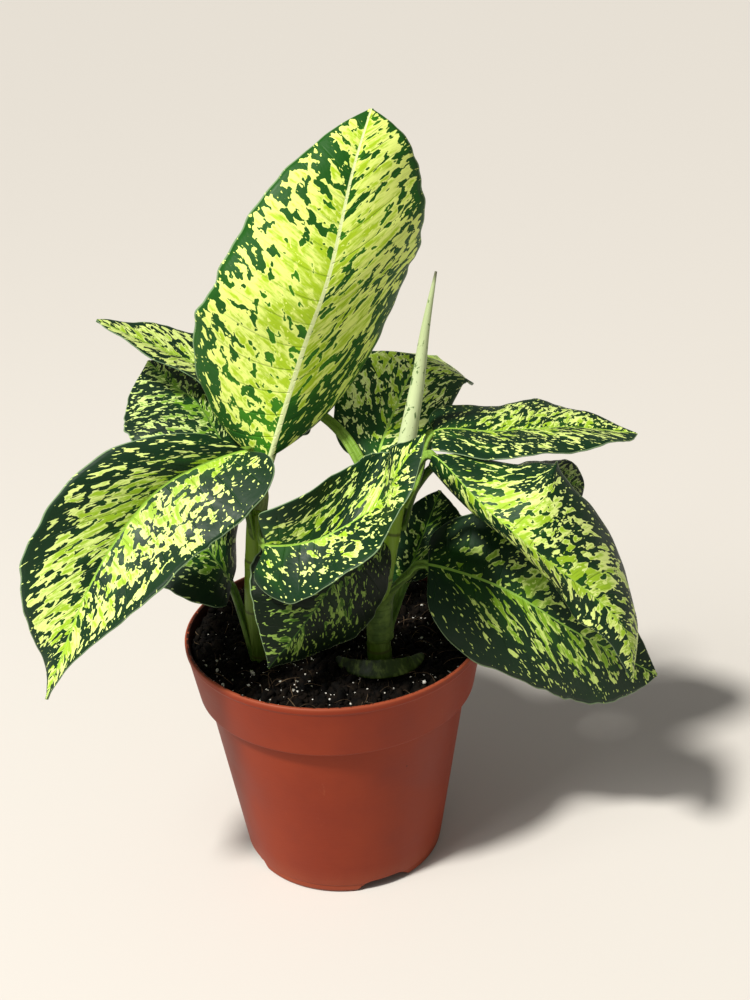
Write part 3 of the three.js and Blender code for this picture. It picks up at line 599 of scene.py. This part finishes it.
def variegationGroup():
    tree, given = makeGroup("variegation", [
        ("Blade", "Vector"), ("Share", "Float"), ("Across", "Float"), ("Upper", "Float"), ("Seed", "Float"),
        ("Lime", "Float", 0.5), ("Speckle", "Float", 0.5), ("Fade", "Float", 0.1),
        ("Patch size", "Float", 1.0), ("Midrib", "Float", 0.5), ("Paleness", "Float", 0.0),
        ("Left rounder", "Float", 1.0), ("Ground", "Color"), ("Fresh ground", "Color"),
        ("Patch", "Color"), ("Pale patch", "Color"), ("Rib", "Color"),
    ])
    plus, less, times = sums(tree)
    mask = lambda value, name: step(tree, value, *pattern[name])
    reach, length, _ = split(tree, given["Blade"])
    away = calc(tree, "ABSOLUTE", reach)
    edge = calc(tree, "ABSOLUTE", given["Across"])
    half = calc(tree, "GREATER_THAN", reach, 0.0)
    layer = plus(given["Seed"], times(half, pattern["halfShift"]))
    swept = less(length, times(away, pattern["lean"]))  # patches lean forward, as the side veins do
    rounder = calc(tree, "POWER", given["Left rounder"], less(1.0, half))
    x = times(calc(tree, "DIVIDE", reach, given["Patch size"]), rounder)
    y = calc(tree, "DIVIDE", swept, times(given["Patch size"], rounder))

    def noiseOf(name, across, along):
        acrossScale, alongScale, shift, *character = pattern[name]
        place = vector(tree, times(across, acrossScale), times(along, alongScale), plus(layer, shift))
        return grain(tree, place, 1.0, *character)

    broad, blobs, jagged = [noiseOf(name, x, y) for name in ("broad", "blobs", "jagged")]
    level = plus(blobs, times(less(broad, 0.5), pattern["broadPart"]))
    level = plus(level, times(less(jagged, 0.5), pattern["jaggedPart"]))
    # the patches thin out to the margin and at the foot of the blade
    level = less(level, times(calc(tree, "POWER", edge, 4.0), given["Fade"]))
    atMargin = step(tree, edge, 0.84, 1.0, 0.0, 0.20)
    level = less(level, plus(atMargin, step(tree, given["Share"], 0.34, 0.05, 0.0, 0.13)))
    level = plus(level, given["Lime"])
    specks = mask(plus(noiseOf("dots", reach, swept), times(given["Speckle"], 0.12)), "speckEdge")
    patches = calc(tree, "MAXIMUM", mask(level, "patchEdge"), specks)
    # streaks along the veins turn the patches from lime to cream, more so towards the margin
    streaks = plus(plus(noiseOf("streaks", reach, swept), given["Paleness"]), times(less(edge, 0.5), 0.2))
    core = times(mask(level, "core"), 0.13)  # deep inside a patch it is greener
    cream = calc(tree, "MAXIMUM", mask(less(streaks, core), "cream"), specks)
    patchColour = blend(tree, cream, given["Patch"], given["Pale patch"])
    hairs = times(mask(noiseOf("hair", reach, swept), "hairs"), 0.3)
    patchColour = blend(tree, hairs, patchColour, given["Fresh ground"])
    fresh = mask(plus(broad, less(0.12, times(edge, 0.3))), "fresh")
    face = blend(tree, patches, blend(tree, fresh, given["Ground"], given["Fresh ground"]), patchColour)
    # side veins, midrib and margin
    phase = plus(times(given["Share"], blade["sideVeins"]), times(half, 0.5))
    nearVein = times(calc(tree, "PINGPONG", phase, 0.5), 2.0)
    vein = times(mask(nearVein, "vein"), mask(edge, "veinEnd"))
    face = blend(tree, times(vein, 0.22), face, given["Fresh ground"])
    ribReach = times(times(less(1.0, times(given["Share"], 0.72)), 2.2), given["Midrib"])
    rib = mask(less(away, ribReach), "rib")
    face = blend(tree, rib, face, given["Rib"])
    face = blend(tree, times(mask(edge, "marginLine"), 0.6), face, pattern["marginColour"])
    # the underside is paler and the pattern shows through it faintly
    under = blend(tree, times(patches, 0.5), pattern["underside"], given["Pale patch"])
    under = blend(tree, times(rib, 0.8), under, pattern["undersideRib"])
    face = blend(tree, mask(given["Upper"], "upperFace"), under, face)
    # the petiole is mottled and takes the midrib's colour along its top
    stalkMarks = mask(noiseOf("stalkMarks", reach, length), "stalkMark")
    stalk = blend(tree, stalkMarks, *pattern["stalkColours"])
    stalk = blend(tree, times(given["Upper"], 0.5), stalk, given["Rib"])
    face = blend(tree, mask(given["Share"], "stalk"), face, stalk)
    rough = step(tree, noiseOf("gloss", reach, length), 0.3, 0.7, 0.44, 0.60)
    height = plus(plus(times(vein, -0.5), times(jagged, 0.3)), times(patches, 0.15))
    return finishGroup(tree, face, rough, height)


variegation = variegationGroup()


def leafMaterial(name):
    leaf = leaves[name]
    material, tree, shader = makeMaterial(name.replace("_", " ") + " blade", {"Specular IOR Level": 0.2})
    ground, fresh, patch, pale, rib = [colour(*tone) for tone in tones[leaf["tone"]]]
    useGroup(tree, shader, variegation, {
        "Blade": attribute(tree, "blade", "Vector"), "Share": attribute(tree, "share"),
        "Across": attribute(tree, "across"), "Upper": attribute(tree, "upper"), "Seed": float(leaf["seed"]),
        "Lime": leaf["lime"], "Speckle": leaf["speckle"], "Fade": leaf["fade"], "Patch size": leaf["size"],
        "Midrib": leaf["rib"], "Paleness": leaf.get("pale", 0.0), "Left rounder": leaf.get("rounder", 1.0),
        "Ground": ground, "Fresh ground": fresh, "Patch": patch, "Pale patch": pale, "Rib": rib,
    }, pattern["bump"])
    return material


# canes, rolled leaf and old sheath
canes = {
    "stem_left": {
        "points": ((-28, -12, 66), (-29, -13, 95), (-30, -13, 120), (-28, -13, 145), (-26.5, -13, 160)),
        "radii": (4.8, 3.7), "nodes": (0.34, 0.55, 0.78),
    },
    "stem_right": {
        "points": ((17, -22, 66), (17, -22, 95), (17, -21, 120), (22, -18.5, 145), (26.5, -15, 165)),
        "radii": (5.4, 3.2), "nodes": (0.36, 0.5, 0.66, 0.84),
    },
}
caneLook = {  # "swell" and "groove" have a size, a width and a shift up from the node
    "sides": 40, "steps": 150, "swell": (0.05, 0.03, 0), "groove": (0.035, 0.005, 0.012),
    # the foot colour is darker than the top: painted shade low on the canes, under the leaves
    "foot": (56, 80, 12), "top": (112, 144, 30), "mark": (60, 62, 22), "streak": (0.22, 0.31, 0.07, 1),
    "shine": 0.3, "bump": 0.0002,
}
rolledLeaf = {
    "points": ((27.3, -14, 168), (30, -10, 181), (35, -6, 203), (39, -3, 225), (43.5, 0, 245)),
    "radius": 3.1, "footShare": 0.8, "taper": 1.6, "tipRadius": 0.45, "lap": 0.16, "turns": 0.35,
    "sides": 56, "steps": 110, "shine": 0.3, "bump": 0.0002,
    "pale": (190, 204, 154), "marks": (92, 116, 70), "upper": (120, 136, 92), "tip": (84, 84, 64),
}
oldSheath = {
    "centre": (17, -22, 96.2), "facing": -92, "spread": 104, "nearRadius": 8.6, "endRadius": 17,
    "height": 6.4, "thickness": 2.4, "lean": 3.6, "steps": 72, "corners": 20, "ripple": (0.12, 0.9),
    # these colours are dark partly as the sheath's own colour and partly as painted shade low among the canes
    "foot": (28, 42, 10), "top": (48, 66, 16), "mark": (22, 26, 10), "shine": 0.25, "bump": 0.0003,
}


def stemRings(points, radiusAt, sides, steps, lapAt):
    curve = curvePoints(points, 400)
    lengths = np.concatenate([[0], np.cumsum(np.linalg.norm(np.diff(curve, axis=0), axis=1))])
    placeAt = lambda share: np.array([np.interp(share * lengths[-1], lengths, curve[:, k]) for k in range(3)])
    rings, shares = [], []
    turn = np.arange(sides) / sides
    angle = turn * 2 * np.pi
    for i in range(steps + 1):
        share = i / steps
        tangent = unit(placeAt(min(1, share + 0.01)) - placeAt(max(0, share - 0.01)))
        side = unit(np.array([1.0, 0, 0]) - tangent * tangent[0])
        front = np.cross(tangent, side)
        radius = radiusAt(share) * lapAt(turn, share)
        ring = placeAt(share) + side * (radius * np.cos(angle))[:, None]
        rings.append(ring + front * (radius * np.sin(angle))[:, None])
        shares.extend([share] * sides)
    return rings, shares


def stemPiece(name, rings, shares, slot, material):
    piece = meshObject(name, np.vstack(rings) * mm, tubeFaces(len(rings), len(rings[0])))
    closedOutwards(piece.data)
    addAttribute(piece.data, "share", shares)
    piece.data.materials.append(material)
    standsFor(piece, slot, name)


def canePiece(name):
    cane = canes[name]
    hump = lambda share, size, width, shift: size * math.exp(-((share - shift) / width) ** 2)

    def radiusAt(share):  # each node swells, with a groove just above its middle
        beyond = [share - n for n in cane["nodes"]]
        swell = sum(hump(b, *caneLook["swell"]) - hump(b, *caneLook["groove"]) for b in beyond)
        return between(cane["radii"], share) * (1 + swell)

    def unevenAt(turn, share):  # slightly oval and fluted
        angle = turn * 2 * np.pi
        return 1 + 0.02 * np.sin(angle * 2 + share * 9) + 0.006 * np.sin(angle * 9 + share * 20)

    rings, shares = stemRings(cane["points"], radiusAt, caneLook["sides"], caneLook["steps"], unevenAt)
    material = skinMaterial(name.replace("_", " ") + " skin", caneLook, cane["nodes"])
    stemPiece(name, rings, shares, "stem", material)


def rolledLeafPiece():
    roll = rolledLeaf

    def radiusAt(share):
        full = roll["radius"] * min(1, roll["footShare"] + share)
        return full * (1 - share ** roll["taper"]) + roll["tipRadius"]

    def lapAt(turn, share):  # the outer edge of the roll winds slowly up the spike
        wound = (turn - share * roll["turns"]) % 1.0
        return 1 + roll["lap"] * (wound - 0.5)

    rings, shares = stemRings(roll["points"], radiusAt, roll["sides"], roll["steps"], lapAt)
    stemPiece("new_leaf", rings, shares, "new_leaf", rolledLeafMaterial())


def oldSheathPiece():
    s = oldSheath
    centre = np.array(s["centre"], float)
    size, beat = s["ripple"]
    rings, shares = [], []
    corners = np.linspace(0, 2 * np.pi, s["corners"], endpoint=False)
    for i in range(s["steps"] + 1):
        turn = 2 * i / s["steps"] - 1
        angle = math.radians(s["facing"] + s["spread"] * turn)
        fullness = max(0.12, math.sqrt(1 - turn * turn))
        radius = between((s["nearRadius"], s["endRadius"]), turn * turn)
        out = np.array([math.cos(angle), math.sin(angle), 0])
        half = s["thickness"] * (0.4 + 0.6 * fullness) / 2
        ring = []
        for c in corners:  # an upright rounded bar that leans out at its foot
            level = (1 - math.cos(c)) / 2
            height = 0.4 + (s["height"] * fullness - 0.1) * level + size * math.sin(i * beat) * level
            lean = s["lean"] * fullness * (1 - level) ** 1.5
            width = half * (1.1 - 0.5 * level) * math.sin(c)
            ring.append(centre + out * (radius + lean + width) + np.array([0, 0, height]))
        rings.append(np.array(ring))
        shares.extend([i / s["steps"]] * s["corners"])
    stemPiece("old_sheath", rings, shares, "old_sheath", skinMaterial("dry sheath", s))


def skinGroup():  # a green skin with rings, pale streaks and dry brown marks
    tree, given = makeGroup("caneSkin", [
        ("Place", "Vector"), ("Share", "Float"), ("Rings", "Float"), ("Foot", "Color"), ("Top", "Color"),
        ("Mark", "Color"),
    ])
    plus, _, times = sums(tree)
    streaks = grain(tree, stretched(tree, given["Place"], 400.0, 45.0), 1.0, 3.0, 0.6)
    spots = grain(tree, given["Place"], 420.0, 3.0, 0.6)
    # the foot colour runs into the top colour; on the canes the darker foot is painted shade
    base = blend(tree, step(tree, given["Share"], 0.25, 0.9), given["Foot"], given["Top"])
    base = blend(tree, times(step(tree, streaks, 0.45, 0.7), 0.4), base, caneLook["streak"])
    for marked in (times(step(tree, spots, 0.62, 0.7), 0.5), times(given["Rings"], 0.75)):
        base = blend(tree, marked, base, given["Mark"])
    rough = step(tree, streaks, 0.3, 0.7, 0.38, 0.6)
    return finishGroup(tree, base, rough, plus(times(streaks, 0.6), times(spots, 0.3)))


caneSkin = skinGroup()


def skinMaterial(name, look, nodes=()):
    material, tree, shader = makeMaterial(name, {"Specular IOR Level": look["shine"]})
    share = attribute(tree, "share")
    rings = 0.0
    for n in nodes:  # a dark ring just above the middle of each node
        away = calc(tree, "ABSOLUTE", calc(tree, "SUBTRACT", share, n + 0.008))
        rings = calc(tree, "MAXIMUM", step(tree, away, 0.009, 0.002), rings)
    useGroup(tree, shader, caneSkin, {
        "Place": objectPlace(tree), "Share": share, "Rings": rings,
        "Foot": colour(*look["foot"]), "Top": colour(*look["top"]), "Mark": colour(*look["mark"]),
    }, look["bump"])
    return material


def rolledLeafMaterial():
    tree, given = makeGroup("rolledLeafSkin", [("Share", "Float"), ("Place", "Vector")])
    pale, marked, upper, tip = [colour(*rolledLeaf[key]) for key in ("pale", "marks", "upper", "tip")]
    marks = grain(tree, stretched(tree, given["Place"], 400.0, 190.0), 1.0, 3.0, 0.65, 0.5)
    face = blend(tree, step(tree, marks, 0.59, 0.63), pale, marked)
    darker = calc(tree, "MULTIPLY", step(tree, given["Share"], 0.3, 0.9), 0.35)
    face = blend(tree, darker, face, upper)
    face = blend(tree, step(tree, given["Share"], 0.93, 1.0), face, tip)
    skin = finishGroup(tree, face, step(tree, marks, 0.3, 0.7, 0.42, 0.6), marks)
    material, tree, shader = makeMaterial("rolled leaf", {"Specular IOR Level": rolledLeaf["shine"]})
    inputs = {"Share": attribute(tree, "share"), "Place": objectPlace(tree)}
    useGroup(tree, shader, skin, inputs, rolledLeaf["bump"])
    return material


# pot
pot = {
    "height": 101, "lipRadius": 60, "bandRadius": 55.9, "bandHeight": 77.8, "wallRadius": 52.7,
    "footRadius": 41.1, "footRound": 2.5, "footStep": ((0.1, 3.6), (0.5, 4.0)),
    "lipStep": ((59.42, 97.9), (59.9, 98.6)),
    "bandInside": 1.8, "wall": 1.6, "floor": 2, "sides": 192, "sharpAngle": 40,
    "notches": 4, "firstNotch": 21, "notchWidth": 24, "notchCrown": 11, "notchHeight": 4.6, "notchDepth": 6,
    # the dust colour also paints a highlight round the lip
    "plain": (128, 48, 26), "faded": (138, 55, 31), "dustAndHighlight": (160, 96, 70), "soilAndShade": (28, 18, 13),
    # the soil colour paints both soil stain and shade on the inside of the wall, from the height given here
    # up
    "bandSlope": 0.177, "darkInsideFrom": 79.5, "shine": 0.18, "bump": 0.00006,
}


def roundedProfile(corners):  # each corner is radius, height and how far it is rounded
    points = []
    for k, (r, z, bend) in enumerate(corners):
        here = np.array([r, z], float)
        if k in (0, len(corners) - 1) or bend == 0:
            points.append(here)
            continue
        before = np.array(corners[k - 1][:2], float)
        after = np.array(corners[k + 1][:2], float)
        a = here + unit(before - here) * min(bend, np.linalg.norm(before - here) * 0.48)
        b = here + unit(after - here) * min(bend, np.linalg.norm(after - here) * 0.48)
        for t in np.linspace(0, 1, 6):
            points.append(a * (1 - t) ** 2 + here * 2 * t * (1 - t) + b * t * t)
    return points


def potPiece():
    p = pot
    wall, floor, band = p["wall"], p["floor"], p["bandHeight"]
    wallRadius, bandRadius = p["wallRadius"], p["bandRadius"]
    step1, step2 = [(p["footRadius"] + out, z, 0.3) for out, z in p["footStep"]]
    under, edge = p["lipStep"]
    profile = roundedProfile([  # from the middle of the foot up the outside and down the inside
        (0, 0, 0), (p["footRadius"], 0, p["footRound"]), step1, step2, (wallRadius, band - 1.0, 0.5),
        (bandRadius, band - 0.2, 0.9), (*under, 0.3), (*edge, 0.4), (p["lipRadius"], p["height"], 0.9),
        (p["lipRadius"] - wall, p["height"], 0.6), (bandRadius - wall, band + p["bandInside"], 0.8),
        (wallRadius - wall, band + 0.6, 0.8), (p["footRadius"] - wall, floor, 1.6), (0, floor, 0),
    ])
    size = p["sides"]
    angles = 2 * np.pi * np.arange(size) / size
    points, faces = [(0, 0, 0)], []
    rings = profile[1:-1]
    for r, z in rings:
        points.extend((r * math.cos(angle), r * math.sin(angle), z) for angle in angles)
    points.append((0, 0, floor))
    last = 1 + (len(rings) - 1) * size
    for j in range(size):
        k = (j + 1) % size
        faces.extend([(0, 1 + k, 1 + j), (last + j, last + k, len(points) - 1)])
    for i in range(len(rings) - 1):
        faces.extend(ringQuads(1 + i * size, 1 + (i + 1) * size, size))
    piece = meshObject("pot", np.array(points) * mm, faces)
    closedOutwards(piece.data)
    cutters = [notchCutter(k) for k in range(p["notches"])]
    for cutter in cutters:
        cut = piece.modifiers.new("notch", "BOOLEAN")
        cut.operation, cut.solver, cut.object = "DIFFERENCE", "EXACT", cutter
    finished = evaluatedMesh(piece)
    piece.modifiers.clear()
    piece.data = finished
    finished.shade_smooth()
    finished.set_sharp_from_angle(angle=math.radians(p["sharpAngle"]))
    for cutter in cutters:
        bpy.data.objects.remove(cutter)
    finished.materials.clear()
    finished.materials.append(potMaterial())
    standsFor(piece, "terracotta_plastic", "pot")


def notchCutter(k):
    half, crown = pot["notchWidth"] / 2, pot["notchCrown"] / 2
    height, depth = pot["notchHeight"], pot["notchDepth"]
    side = [(half, -1)]
    for t in np.linspace(0, 1, 8):  # the arch rises slowly and rounds into its crown
        a, b, c = (1 - t) ** 2, 2 * t * (1 - t), t * t
        side.append((half * a + (crown + 2) * b + crown * c, 0.4 * a + height * (b + c)))
    arch = side + [(-x, z) for x, z in reversed(side)]
    turn = math.radians(pot["firstNotch"] + k * 360 / pot["notches"])
    cosine, sine = math.cos(turn), math.sin(turn)
    points = []
    for y in (-pot["footRadius"] - depth, -pot["footRadius"] + depth):
        points.extend((x * cosine - y * sine, x * sine + y * cosine, z) for x, z in arch)
    cutter = meshObject("notchCutter", np.array(points) * mm, tubeFaces(2, len(arch)), smooth=False)
    closedOutwards(cutter.data)
    return cutter


def plasticGroup():
    tree, given = makeGroup("pottedPlastic", [
        ("Place", "Vector"), ("Plain", "Color"), ("Faded", "Color"), ("Dust", "Color"), ("Soil", "Color"),
        ("Lip height", "Float"),
    ])
    plus, less, times = sums(tree)
    place, lipHeight = given["Place"], given["Lip height"]
    x, y, z = split(tree, place)
    cloud = grain(tree, place, 26.0, 4.0, 0.6)
    fine = grain(tree, place, 900.0, 2.0, 0.5)
    turning = grain(tree, stretched(tree, place, 30.0, 1400.0), 1.0, 2.0, 0.5)
    face = blend(tree, step(tree, cloud, 0.35, 0.7), given["Plain"], given["Faded"])
    # dust in the scuffs and low on the foot, and dust with a painted highlight round the lip
    scuffs = grain(tree, stretched(tree, place, 220.0, 60.0), 1.0, 4.0, 0.7)
    scuffMask = times(step(tree, scuffs, 0.66, 0.74), 0.3)
    # the top of the lip is lighter: dust with a painted highlight
    lip = step(tree, z, less(lipHeight, 0.0016), lipHeight)
    foot = times(step(tree, z, 0.014, 0.0), cloud)
    for dustAndHighlightMask in (scuffMask, times(lip, 0.3), times(foot, 0.5)):
        face = blend(tree, dustAndHighlightMask, face, given["Dust"])
    # a few specks of soil
    cells = addNode(tree, "TexVoronoi", {"Vector": place, "Scale": 75.0}).outputs
    dot = times(step(tree, cells["Distance"], 0.045, 0.03), calc(tree, "GREATER_THAN", cells["Color"], 0.62))
    face = blend(tree, times(dot, 0.7), face, given["Soil"])
    # soil stains the inside of the wall, with painted shade deeper below the lip top; soil heaps over the lip
    # at the left and lies on it in grains
    radius = calc(tree, "SQRT", plus(times(x, x), times(y, y)))
    middle = times(less(z, pot["bandHeight"] * mm), pot["bandSlope"])
    middle = plus((pot["bandRadius"] - pot["wall"] / 2) * mm, middle)  # half way through the wall
    inside = step(tree, less(middle, radius), -0.0003, 0.0002)
    inside = times(inside, calc(tree, "GREATER_THAN", z, pot["darkInsideFrom"] * mm))
    # deeper below the top of the lip the inside darkens further: painted shade
    depth = step(tree, z, lipHeight, less(lipHeight, 0.0014))
    heaped = step(tree, less(times(y, 0.6), x), 0.015, 0.05)
    stainAndShadeSpread = plus(grain(tree, place, 320.0, 4.0, 0.7), times(heaped, 0.16))
    stainAndShade = step(tree, plus(stainAndShadeSpread, times(depth, 0.4)), 0.50, 0.62)
    grains = step(tree, grain(tree, place, 1500.0, 2.0, 0.5), 0.62, 0.66)
    stainAndShade = calc(tree, "MAXIMUM", times(stainAndShade, 0.9), grains)
    face = blend(tree, times(inside, stainAndShade), face, given["Soil"])
    rough = plus(step(tree, cloud, 0.3, 0.7, 0.46, 0.58), times(scuffMask, 0.4))
    return finishGroup(tree, face, rough, plus(times(fine, 0.5), times(turning, 0.6)))


def potMaterial():
    material, tree, shader = makeMaterial("moulded pot", {"Specular IOR Level": pot["shine"]})
    useGroup(tree, shader, plasticGroup(), {
        "Place": objectPlace(tree), "Plain": colour(*pot["plain"]), "Faded": colour(*pot["faded"]),
        "Dust": colour(*pot["dustAndHighlight"]), "Soil": colour(*pot["soilAndShade"]), "Lip height": pot["height"] * mm,
    }, pot["bump"])
    return material


# soil, with crumbs, perlite and fibres scattered over it; density is per square metre, grain sizes in metres
soil = {
    "rim": 92.5, "crown": 95.5, "heaped": 5, "lumps": 1.1, "relief": 1.2, "rings": 84, "sides": 280,
    "clearance": 0.35, "sideClearance": 0.6, "grainClearance": 2.2, "facingUp": 0.45,
    "crumbs": {"density": 210000.0, "size": (0.0009, 0.0032), "seed": 5, "tilt": 3.1},
    "clods": {"density": 30000.0, "size": (0.0028, 0.0062), "seed": 6, "tilt": 3.1},
    "perlite": {"density": 8000.0, "size": (0.0008, 0.0021), "seed": 12, "tilt": 3.1},
    "whiteSpecks": {"density": 55000.0, "size": (0.0005, 0.0012), "seed": 14, "tilt": 3.1},
    "fibres": {"density": 17000.0, "size": (0.005, 0.015), "seed": 21, "tilt": 0.6},
    "peat": ((5, 4, 4), (28, 23, 19)), "crumb": ((5, 4, 4), (30, 25, 20)),
    "white": ((176, 172, 160), (236, 234, 226)), "fibre": ((52, 42, 33), (100, 84, 66)),
    "shine": 0.1, "bump": 0.0004,
}


def soilHeight(x, y, share):
    lumps = math.sin(x * 0.21 + 1.3) * math.cos(y * 0.19 + 0.4)
    lumps += 0.7 * math.sin(x * 0.47 - y * 0.31 + 2.1)
    lumps += 0.5 * math.cos(x * 0.83 + y * 0.71)
    heap = soil["heaped"] / (1 + math.exp((5 + 0.5 * x - 0.8 * y) / 10))  # higher at the left and the back
    crumbs = noise.fractal(Vector((x * 0.24, y * 0.24, 3.1)), 0.7, 2.1, 5)
    mound = between((soil["rim"], soil["crown"]), 1 - share * share)
    return mound + heap + soil["lumps"] * 0.5 * lumps + soil["relief"] * crumbs


def soilPiece():
    wall, band = pot["wall"], pot["bandHeight"]
    foot = pot["footRadius"] - wall - soil["sideClearance"]
    side = pot["wallRadius"] - wall - soil["sideClearance"]
    inner, innerFoot = pot["bandRadius"] - wall, band + pot["bandInside"]
    slope = (pot["lipRadius"] - wall - 0.3 - inner) / (pot["height"] - 0.7 - innerFoot)
    innerAt = lambda z: inner + (z - innerFoot) * slope - soil["clearance"]
    angles = np.linspace(0, 2 * np.pi, soil["sides"], endpoint=False)
    level = lambda r, z: np.stack([r * np.cos(angles), r * np.sin(angles), np.full(len(angles), z)], 1)
    rings = [level(foot, pot["floor"] + 2), level(side, band), level(side, band + 2.4)]
    rings.append(level(innerAt(band + 4), band + 4))
    outermost = innerAt(soil["rim"] - 2)
    for k in range(soil["rings"]):
        share = 1 - k / soil["rings"]
        ring = level(outermost * share, 0)
        ring[:, 2] = [soilHeight(x, y, share) for x, y, _ in ring]
        ring[:, :2] *= (1 + (innerAt(ring[:, 2]) / outermost - 1) * share ** 4)[:, None]
        rings.append(ring)
    piece = meshObject("soil", np.vstack(rings) * mm, tubeFaces(len(rings), soil["sides"]))
    closedOutwards(piece.data)
    piece.data.materials.append(peatMaterial("peat", "peat"))
    standsFor(piece, "peat", "soil")
    return piece


scatterInputs = [
    ("Geometry", "Geometry"), ("Density", "Float", 1000.0), ("Smallest", "Float", 0.001),
    ("Largest", "Float", 0.002), ("Seed", "Int", 1), ("Grain", "Object"), ("Tilt", "Float", 3.1),
]


def scatterTree(material):  # scatters a chosen grain over the top of a mesh, then makes it real
    tree = bpy.data.node_groups.new("scatterGrains", "GeometryNodeTree")
    for label, kind, *start in scatterInputs:
        socket = tree.interface.new_socket(label, in_out="INPUT", socket_type="NodeSocket" + kind)
        if start:
            socket.default_value = start[0]
    tree.interface.new_socket("Geometry", in_out="OUTPUT", socket_type="NodeSocketGeometry")
    given = tree.nodes.new("NodeGroupInput").outputs
    seed = {"Seed": given["Seed"]}
    geometry = lambda kind, inputs: fillNode(tree, "GeometryNode" + kind, inputs).outputs
    normal = geometry("InputNormal", {})[0]
    above = fillNode(tree, "FunctionNodeCompare", {0: split(tree, normal)[2], 1: soil["facingUp"]}).outputs[0]
    spots = geometry("DistributePointsOnFaces", {
        "Mesh": given["Geometry"], "Selection": above, "Density": given["Density"], **seed,
    })["Points"]
    shape = geometry("ObjectInfo", {"Object": given["Grain"]})["Geometry"]
    sizes = {2: given["Smallest"], 3: given["Largest"], **seed}
    size = fillNode(tree, "FunctionNodeRandomValue", sizes).outputs[1]
    turns = {1: vector(tree, given["Tilt"], given["Tilt"], 6.283), **seed}  # leans up to Tilt, any way round
    turn = fillNode(tree, "FunctionNodeRandomValue", turns, data_type="FLOAT_VECTOR").outputs[0]
    chosen = {"Points": spots, "Instance": shape, "Rotation": turn, "Scale": size}
    placed = geometry("InstanceOnPoints", chosen)[0]
    real = geometry("RealizeInstances", {0: placed})[0]
    painted = geometry("SetMaterial", {0: real, "Material": material})[0]
    tree.links.new(painted, tree.nodes.new("NodeGroupOutput").inputs[0])
    return tree


def grainShape(name, stretch, seed, level=1):  # a lump 1 m across, scaled where it is scattered
    shape = bmesh.new()
    bmesh.ops.create_icosphere(shape, subdivisions=level, radius=0.5)
    for v in shape.verts:
        bump = 1 + 0.5 * noise.noise(v.co * 2.2 + Vector((seed, seed * 1.7, 0)))
        v.co = Vector((v.co.x * stretch[0], v.co.y * stretch[1], v.co.z * stretch[2])) * bump
    mesh = bpy.data.meshes.new(name)
    shape.to_mesh(mesh)
    shape.free()
    return linked(name, mesh)


def fibreShape():  # a thin bent strand
    rings = []
    corners = [0.013 * np.array([0, math.cos(a), math.sin(a)]) for a in (0, 2.09, 4.19)]
    for i in range(9):
        t = i / 8
        centre = np.array([t - 0.5, 0.26 * math.sin(t * 3.4), 0.14 * math.sin(t * 4.4)])
        rings.append(np.array([centre + corner for corner in corners]))
    return meshObject("strand", np.vstack(rings), tubeFaces(9, 3))


def scatterOn(ground, name, grainObject, values, material):
    carrier = linked(name, ground.data.copy())
    tree = scatterTree(material)
    modifier = carrier.modifiers.new("scatter", "NODES")
    modifier.node_group = tree
    smallest, largest = values["size"]
    chosen = {"Density": values["density"], "Smallest": smallest, "Largest": largest, "Seed": values["seed"],
              "Grain": grainObject, "Tilt": values["tilt"]}
    for socket in tree.interface.items_tree:
        if socket.item_type == "SOCKET" and socket.in_out == "INPUT" and socket.name in chosen:
            modifier[socket.identifier] = chosen[socket.name]
    finished = evaluatedMesh(carrier)
    carrier.modifiers.clear()
    carrier.data = finished
    keepInPot(finished)
    if not len(finished.materials):
        finished.materials.append(material)
    finished.shade_smooth()
    standsFor(carrier, "peat")
    bpy.data.objects.remove(grainObject)


def keepInPot(mesh):  # draws in what would reach through the pot's wall
    limit = (pot["lipRadius"] - pot["wall"] - soil["grainClearance"]) * mm
    co = np.zeros(len(mesh.vertices) * 3)
    mesh.vertices.foreach_get("co", co)
    co = co.reshape(-1, 3)
    radius = np.hypot(co[:, 0], co[:, 1])
    co[:, :2] *= np.minimum(1, limit / np.maximum(radius, 1e-9))[:, None]
    mesh.vertices.foreach_set("co", co.ravel())


def peatGroup():
    tree, given = makeGroup("peatGrain", [("Place", "Vector"), ("Dark", "Color"), ("Light", "Color")])
    plus, _, times = sums(tree)
    clumps = grain(tree, given["Place"], 260.0, 4.0, 0.65)
    fine = grain(tree, given["Place"], 1400.0, 3.0, 0.6)
    face = blend(tree, step(tree, clumps, 0.35, 0.7), given["Dark"], given["Light"])
    face = blend(tree, times(step(tree, fine, 0.55, 0.75), 0.5), face, given["Light"])
    return finishGroup(tree, face, step(tree, clumps, 0.3, 0.7, 0.8, 0.98), plus(clumps, times(fine, 0.5)))


peatGrain = peatGroup()


def peatMaterial(name, tone):
    dark, light = soil[tone]
    material, tree, shader = makeMaterial(name, {"Specular IOR Level": soil["shine"]})
    inputs = {"Place": objectPlace(tree), "Dark": colour(*dark), "Light": colour(*light)}
    useGroup(tree, shader, peatGrain, inputs, soil["bump"])
    return material


# the whole plant
setStage()
print("stage set")
potPiece()
print("pot made")
ground = soilPiece()
peatCrumb = peatMaterial("peat crumbs", "crumb")
perlite = peatMaterial("perlite", "white")
fibre = peatMaterial("peat fibres", "fibre")
scatterOn(ground, "soilCrumbs", grainShape("crumb", (1, 0.8, 0.65), 3), soil["crumbs"], peatCrumb)
scatterOn(ground, "soilClods", grainShape("clod", (1, 0.85, 0.6), 5, 2), soil["clods"], peatCrumb)
scatterOn(ground, "perlite", grainShape("bead", (1, 0.85, 0.7), 8, 2), soil["perlite"], perlite)
scatterOn(ground, "whiteSpecks", grainShape("speck", (1, 0.85, 0.7), 9), soil["whiteSpecks"], perlite)
scatterOn(ground, "peatFibres", fibreShape(), soil["fibres"], fibre)
print("soil made")
for name in canes:
    canePiece(name)
rolledLeafPiece()
oldSheathPiece()
print("canes made")
for name in leaves:
    leafPiece(name)
print("leaves made")

bpy.context.view_layer.update()
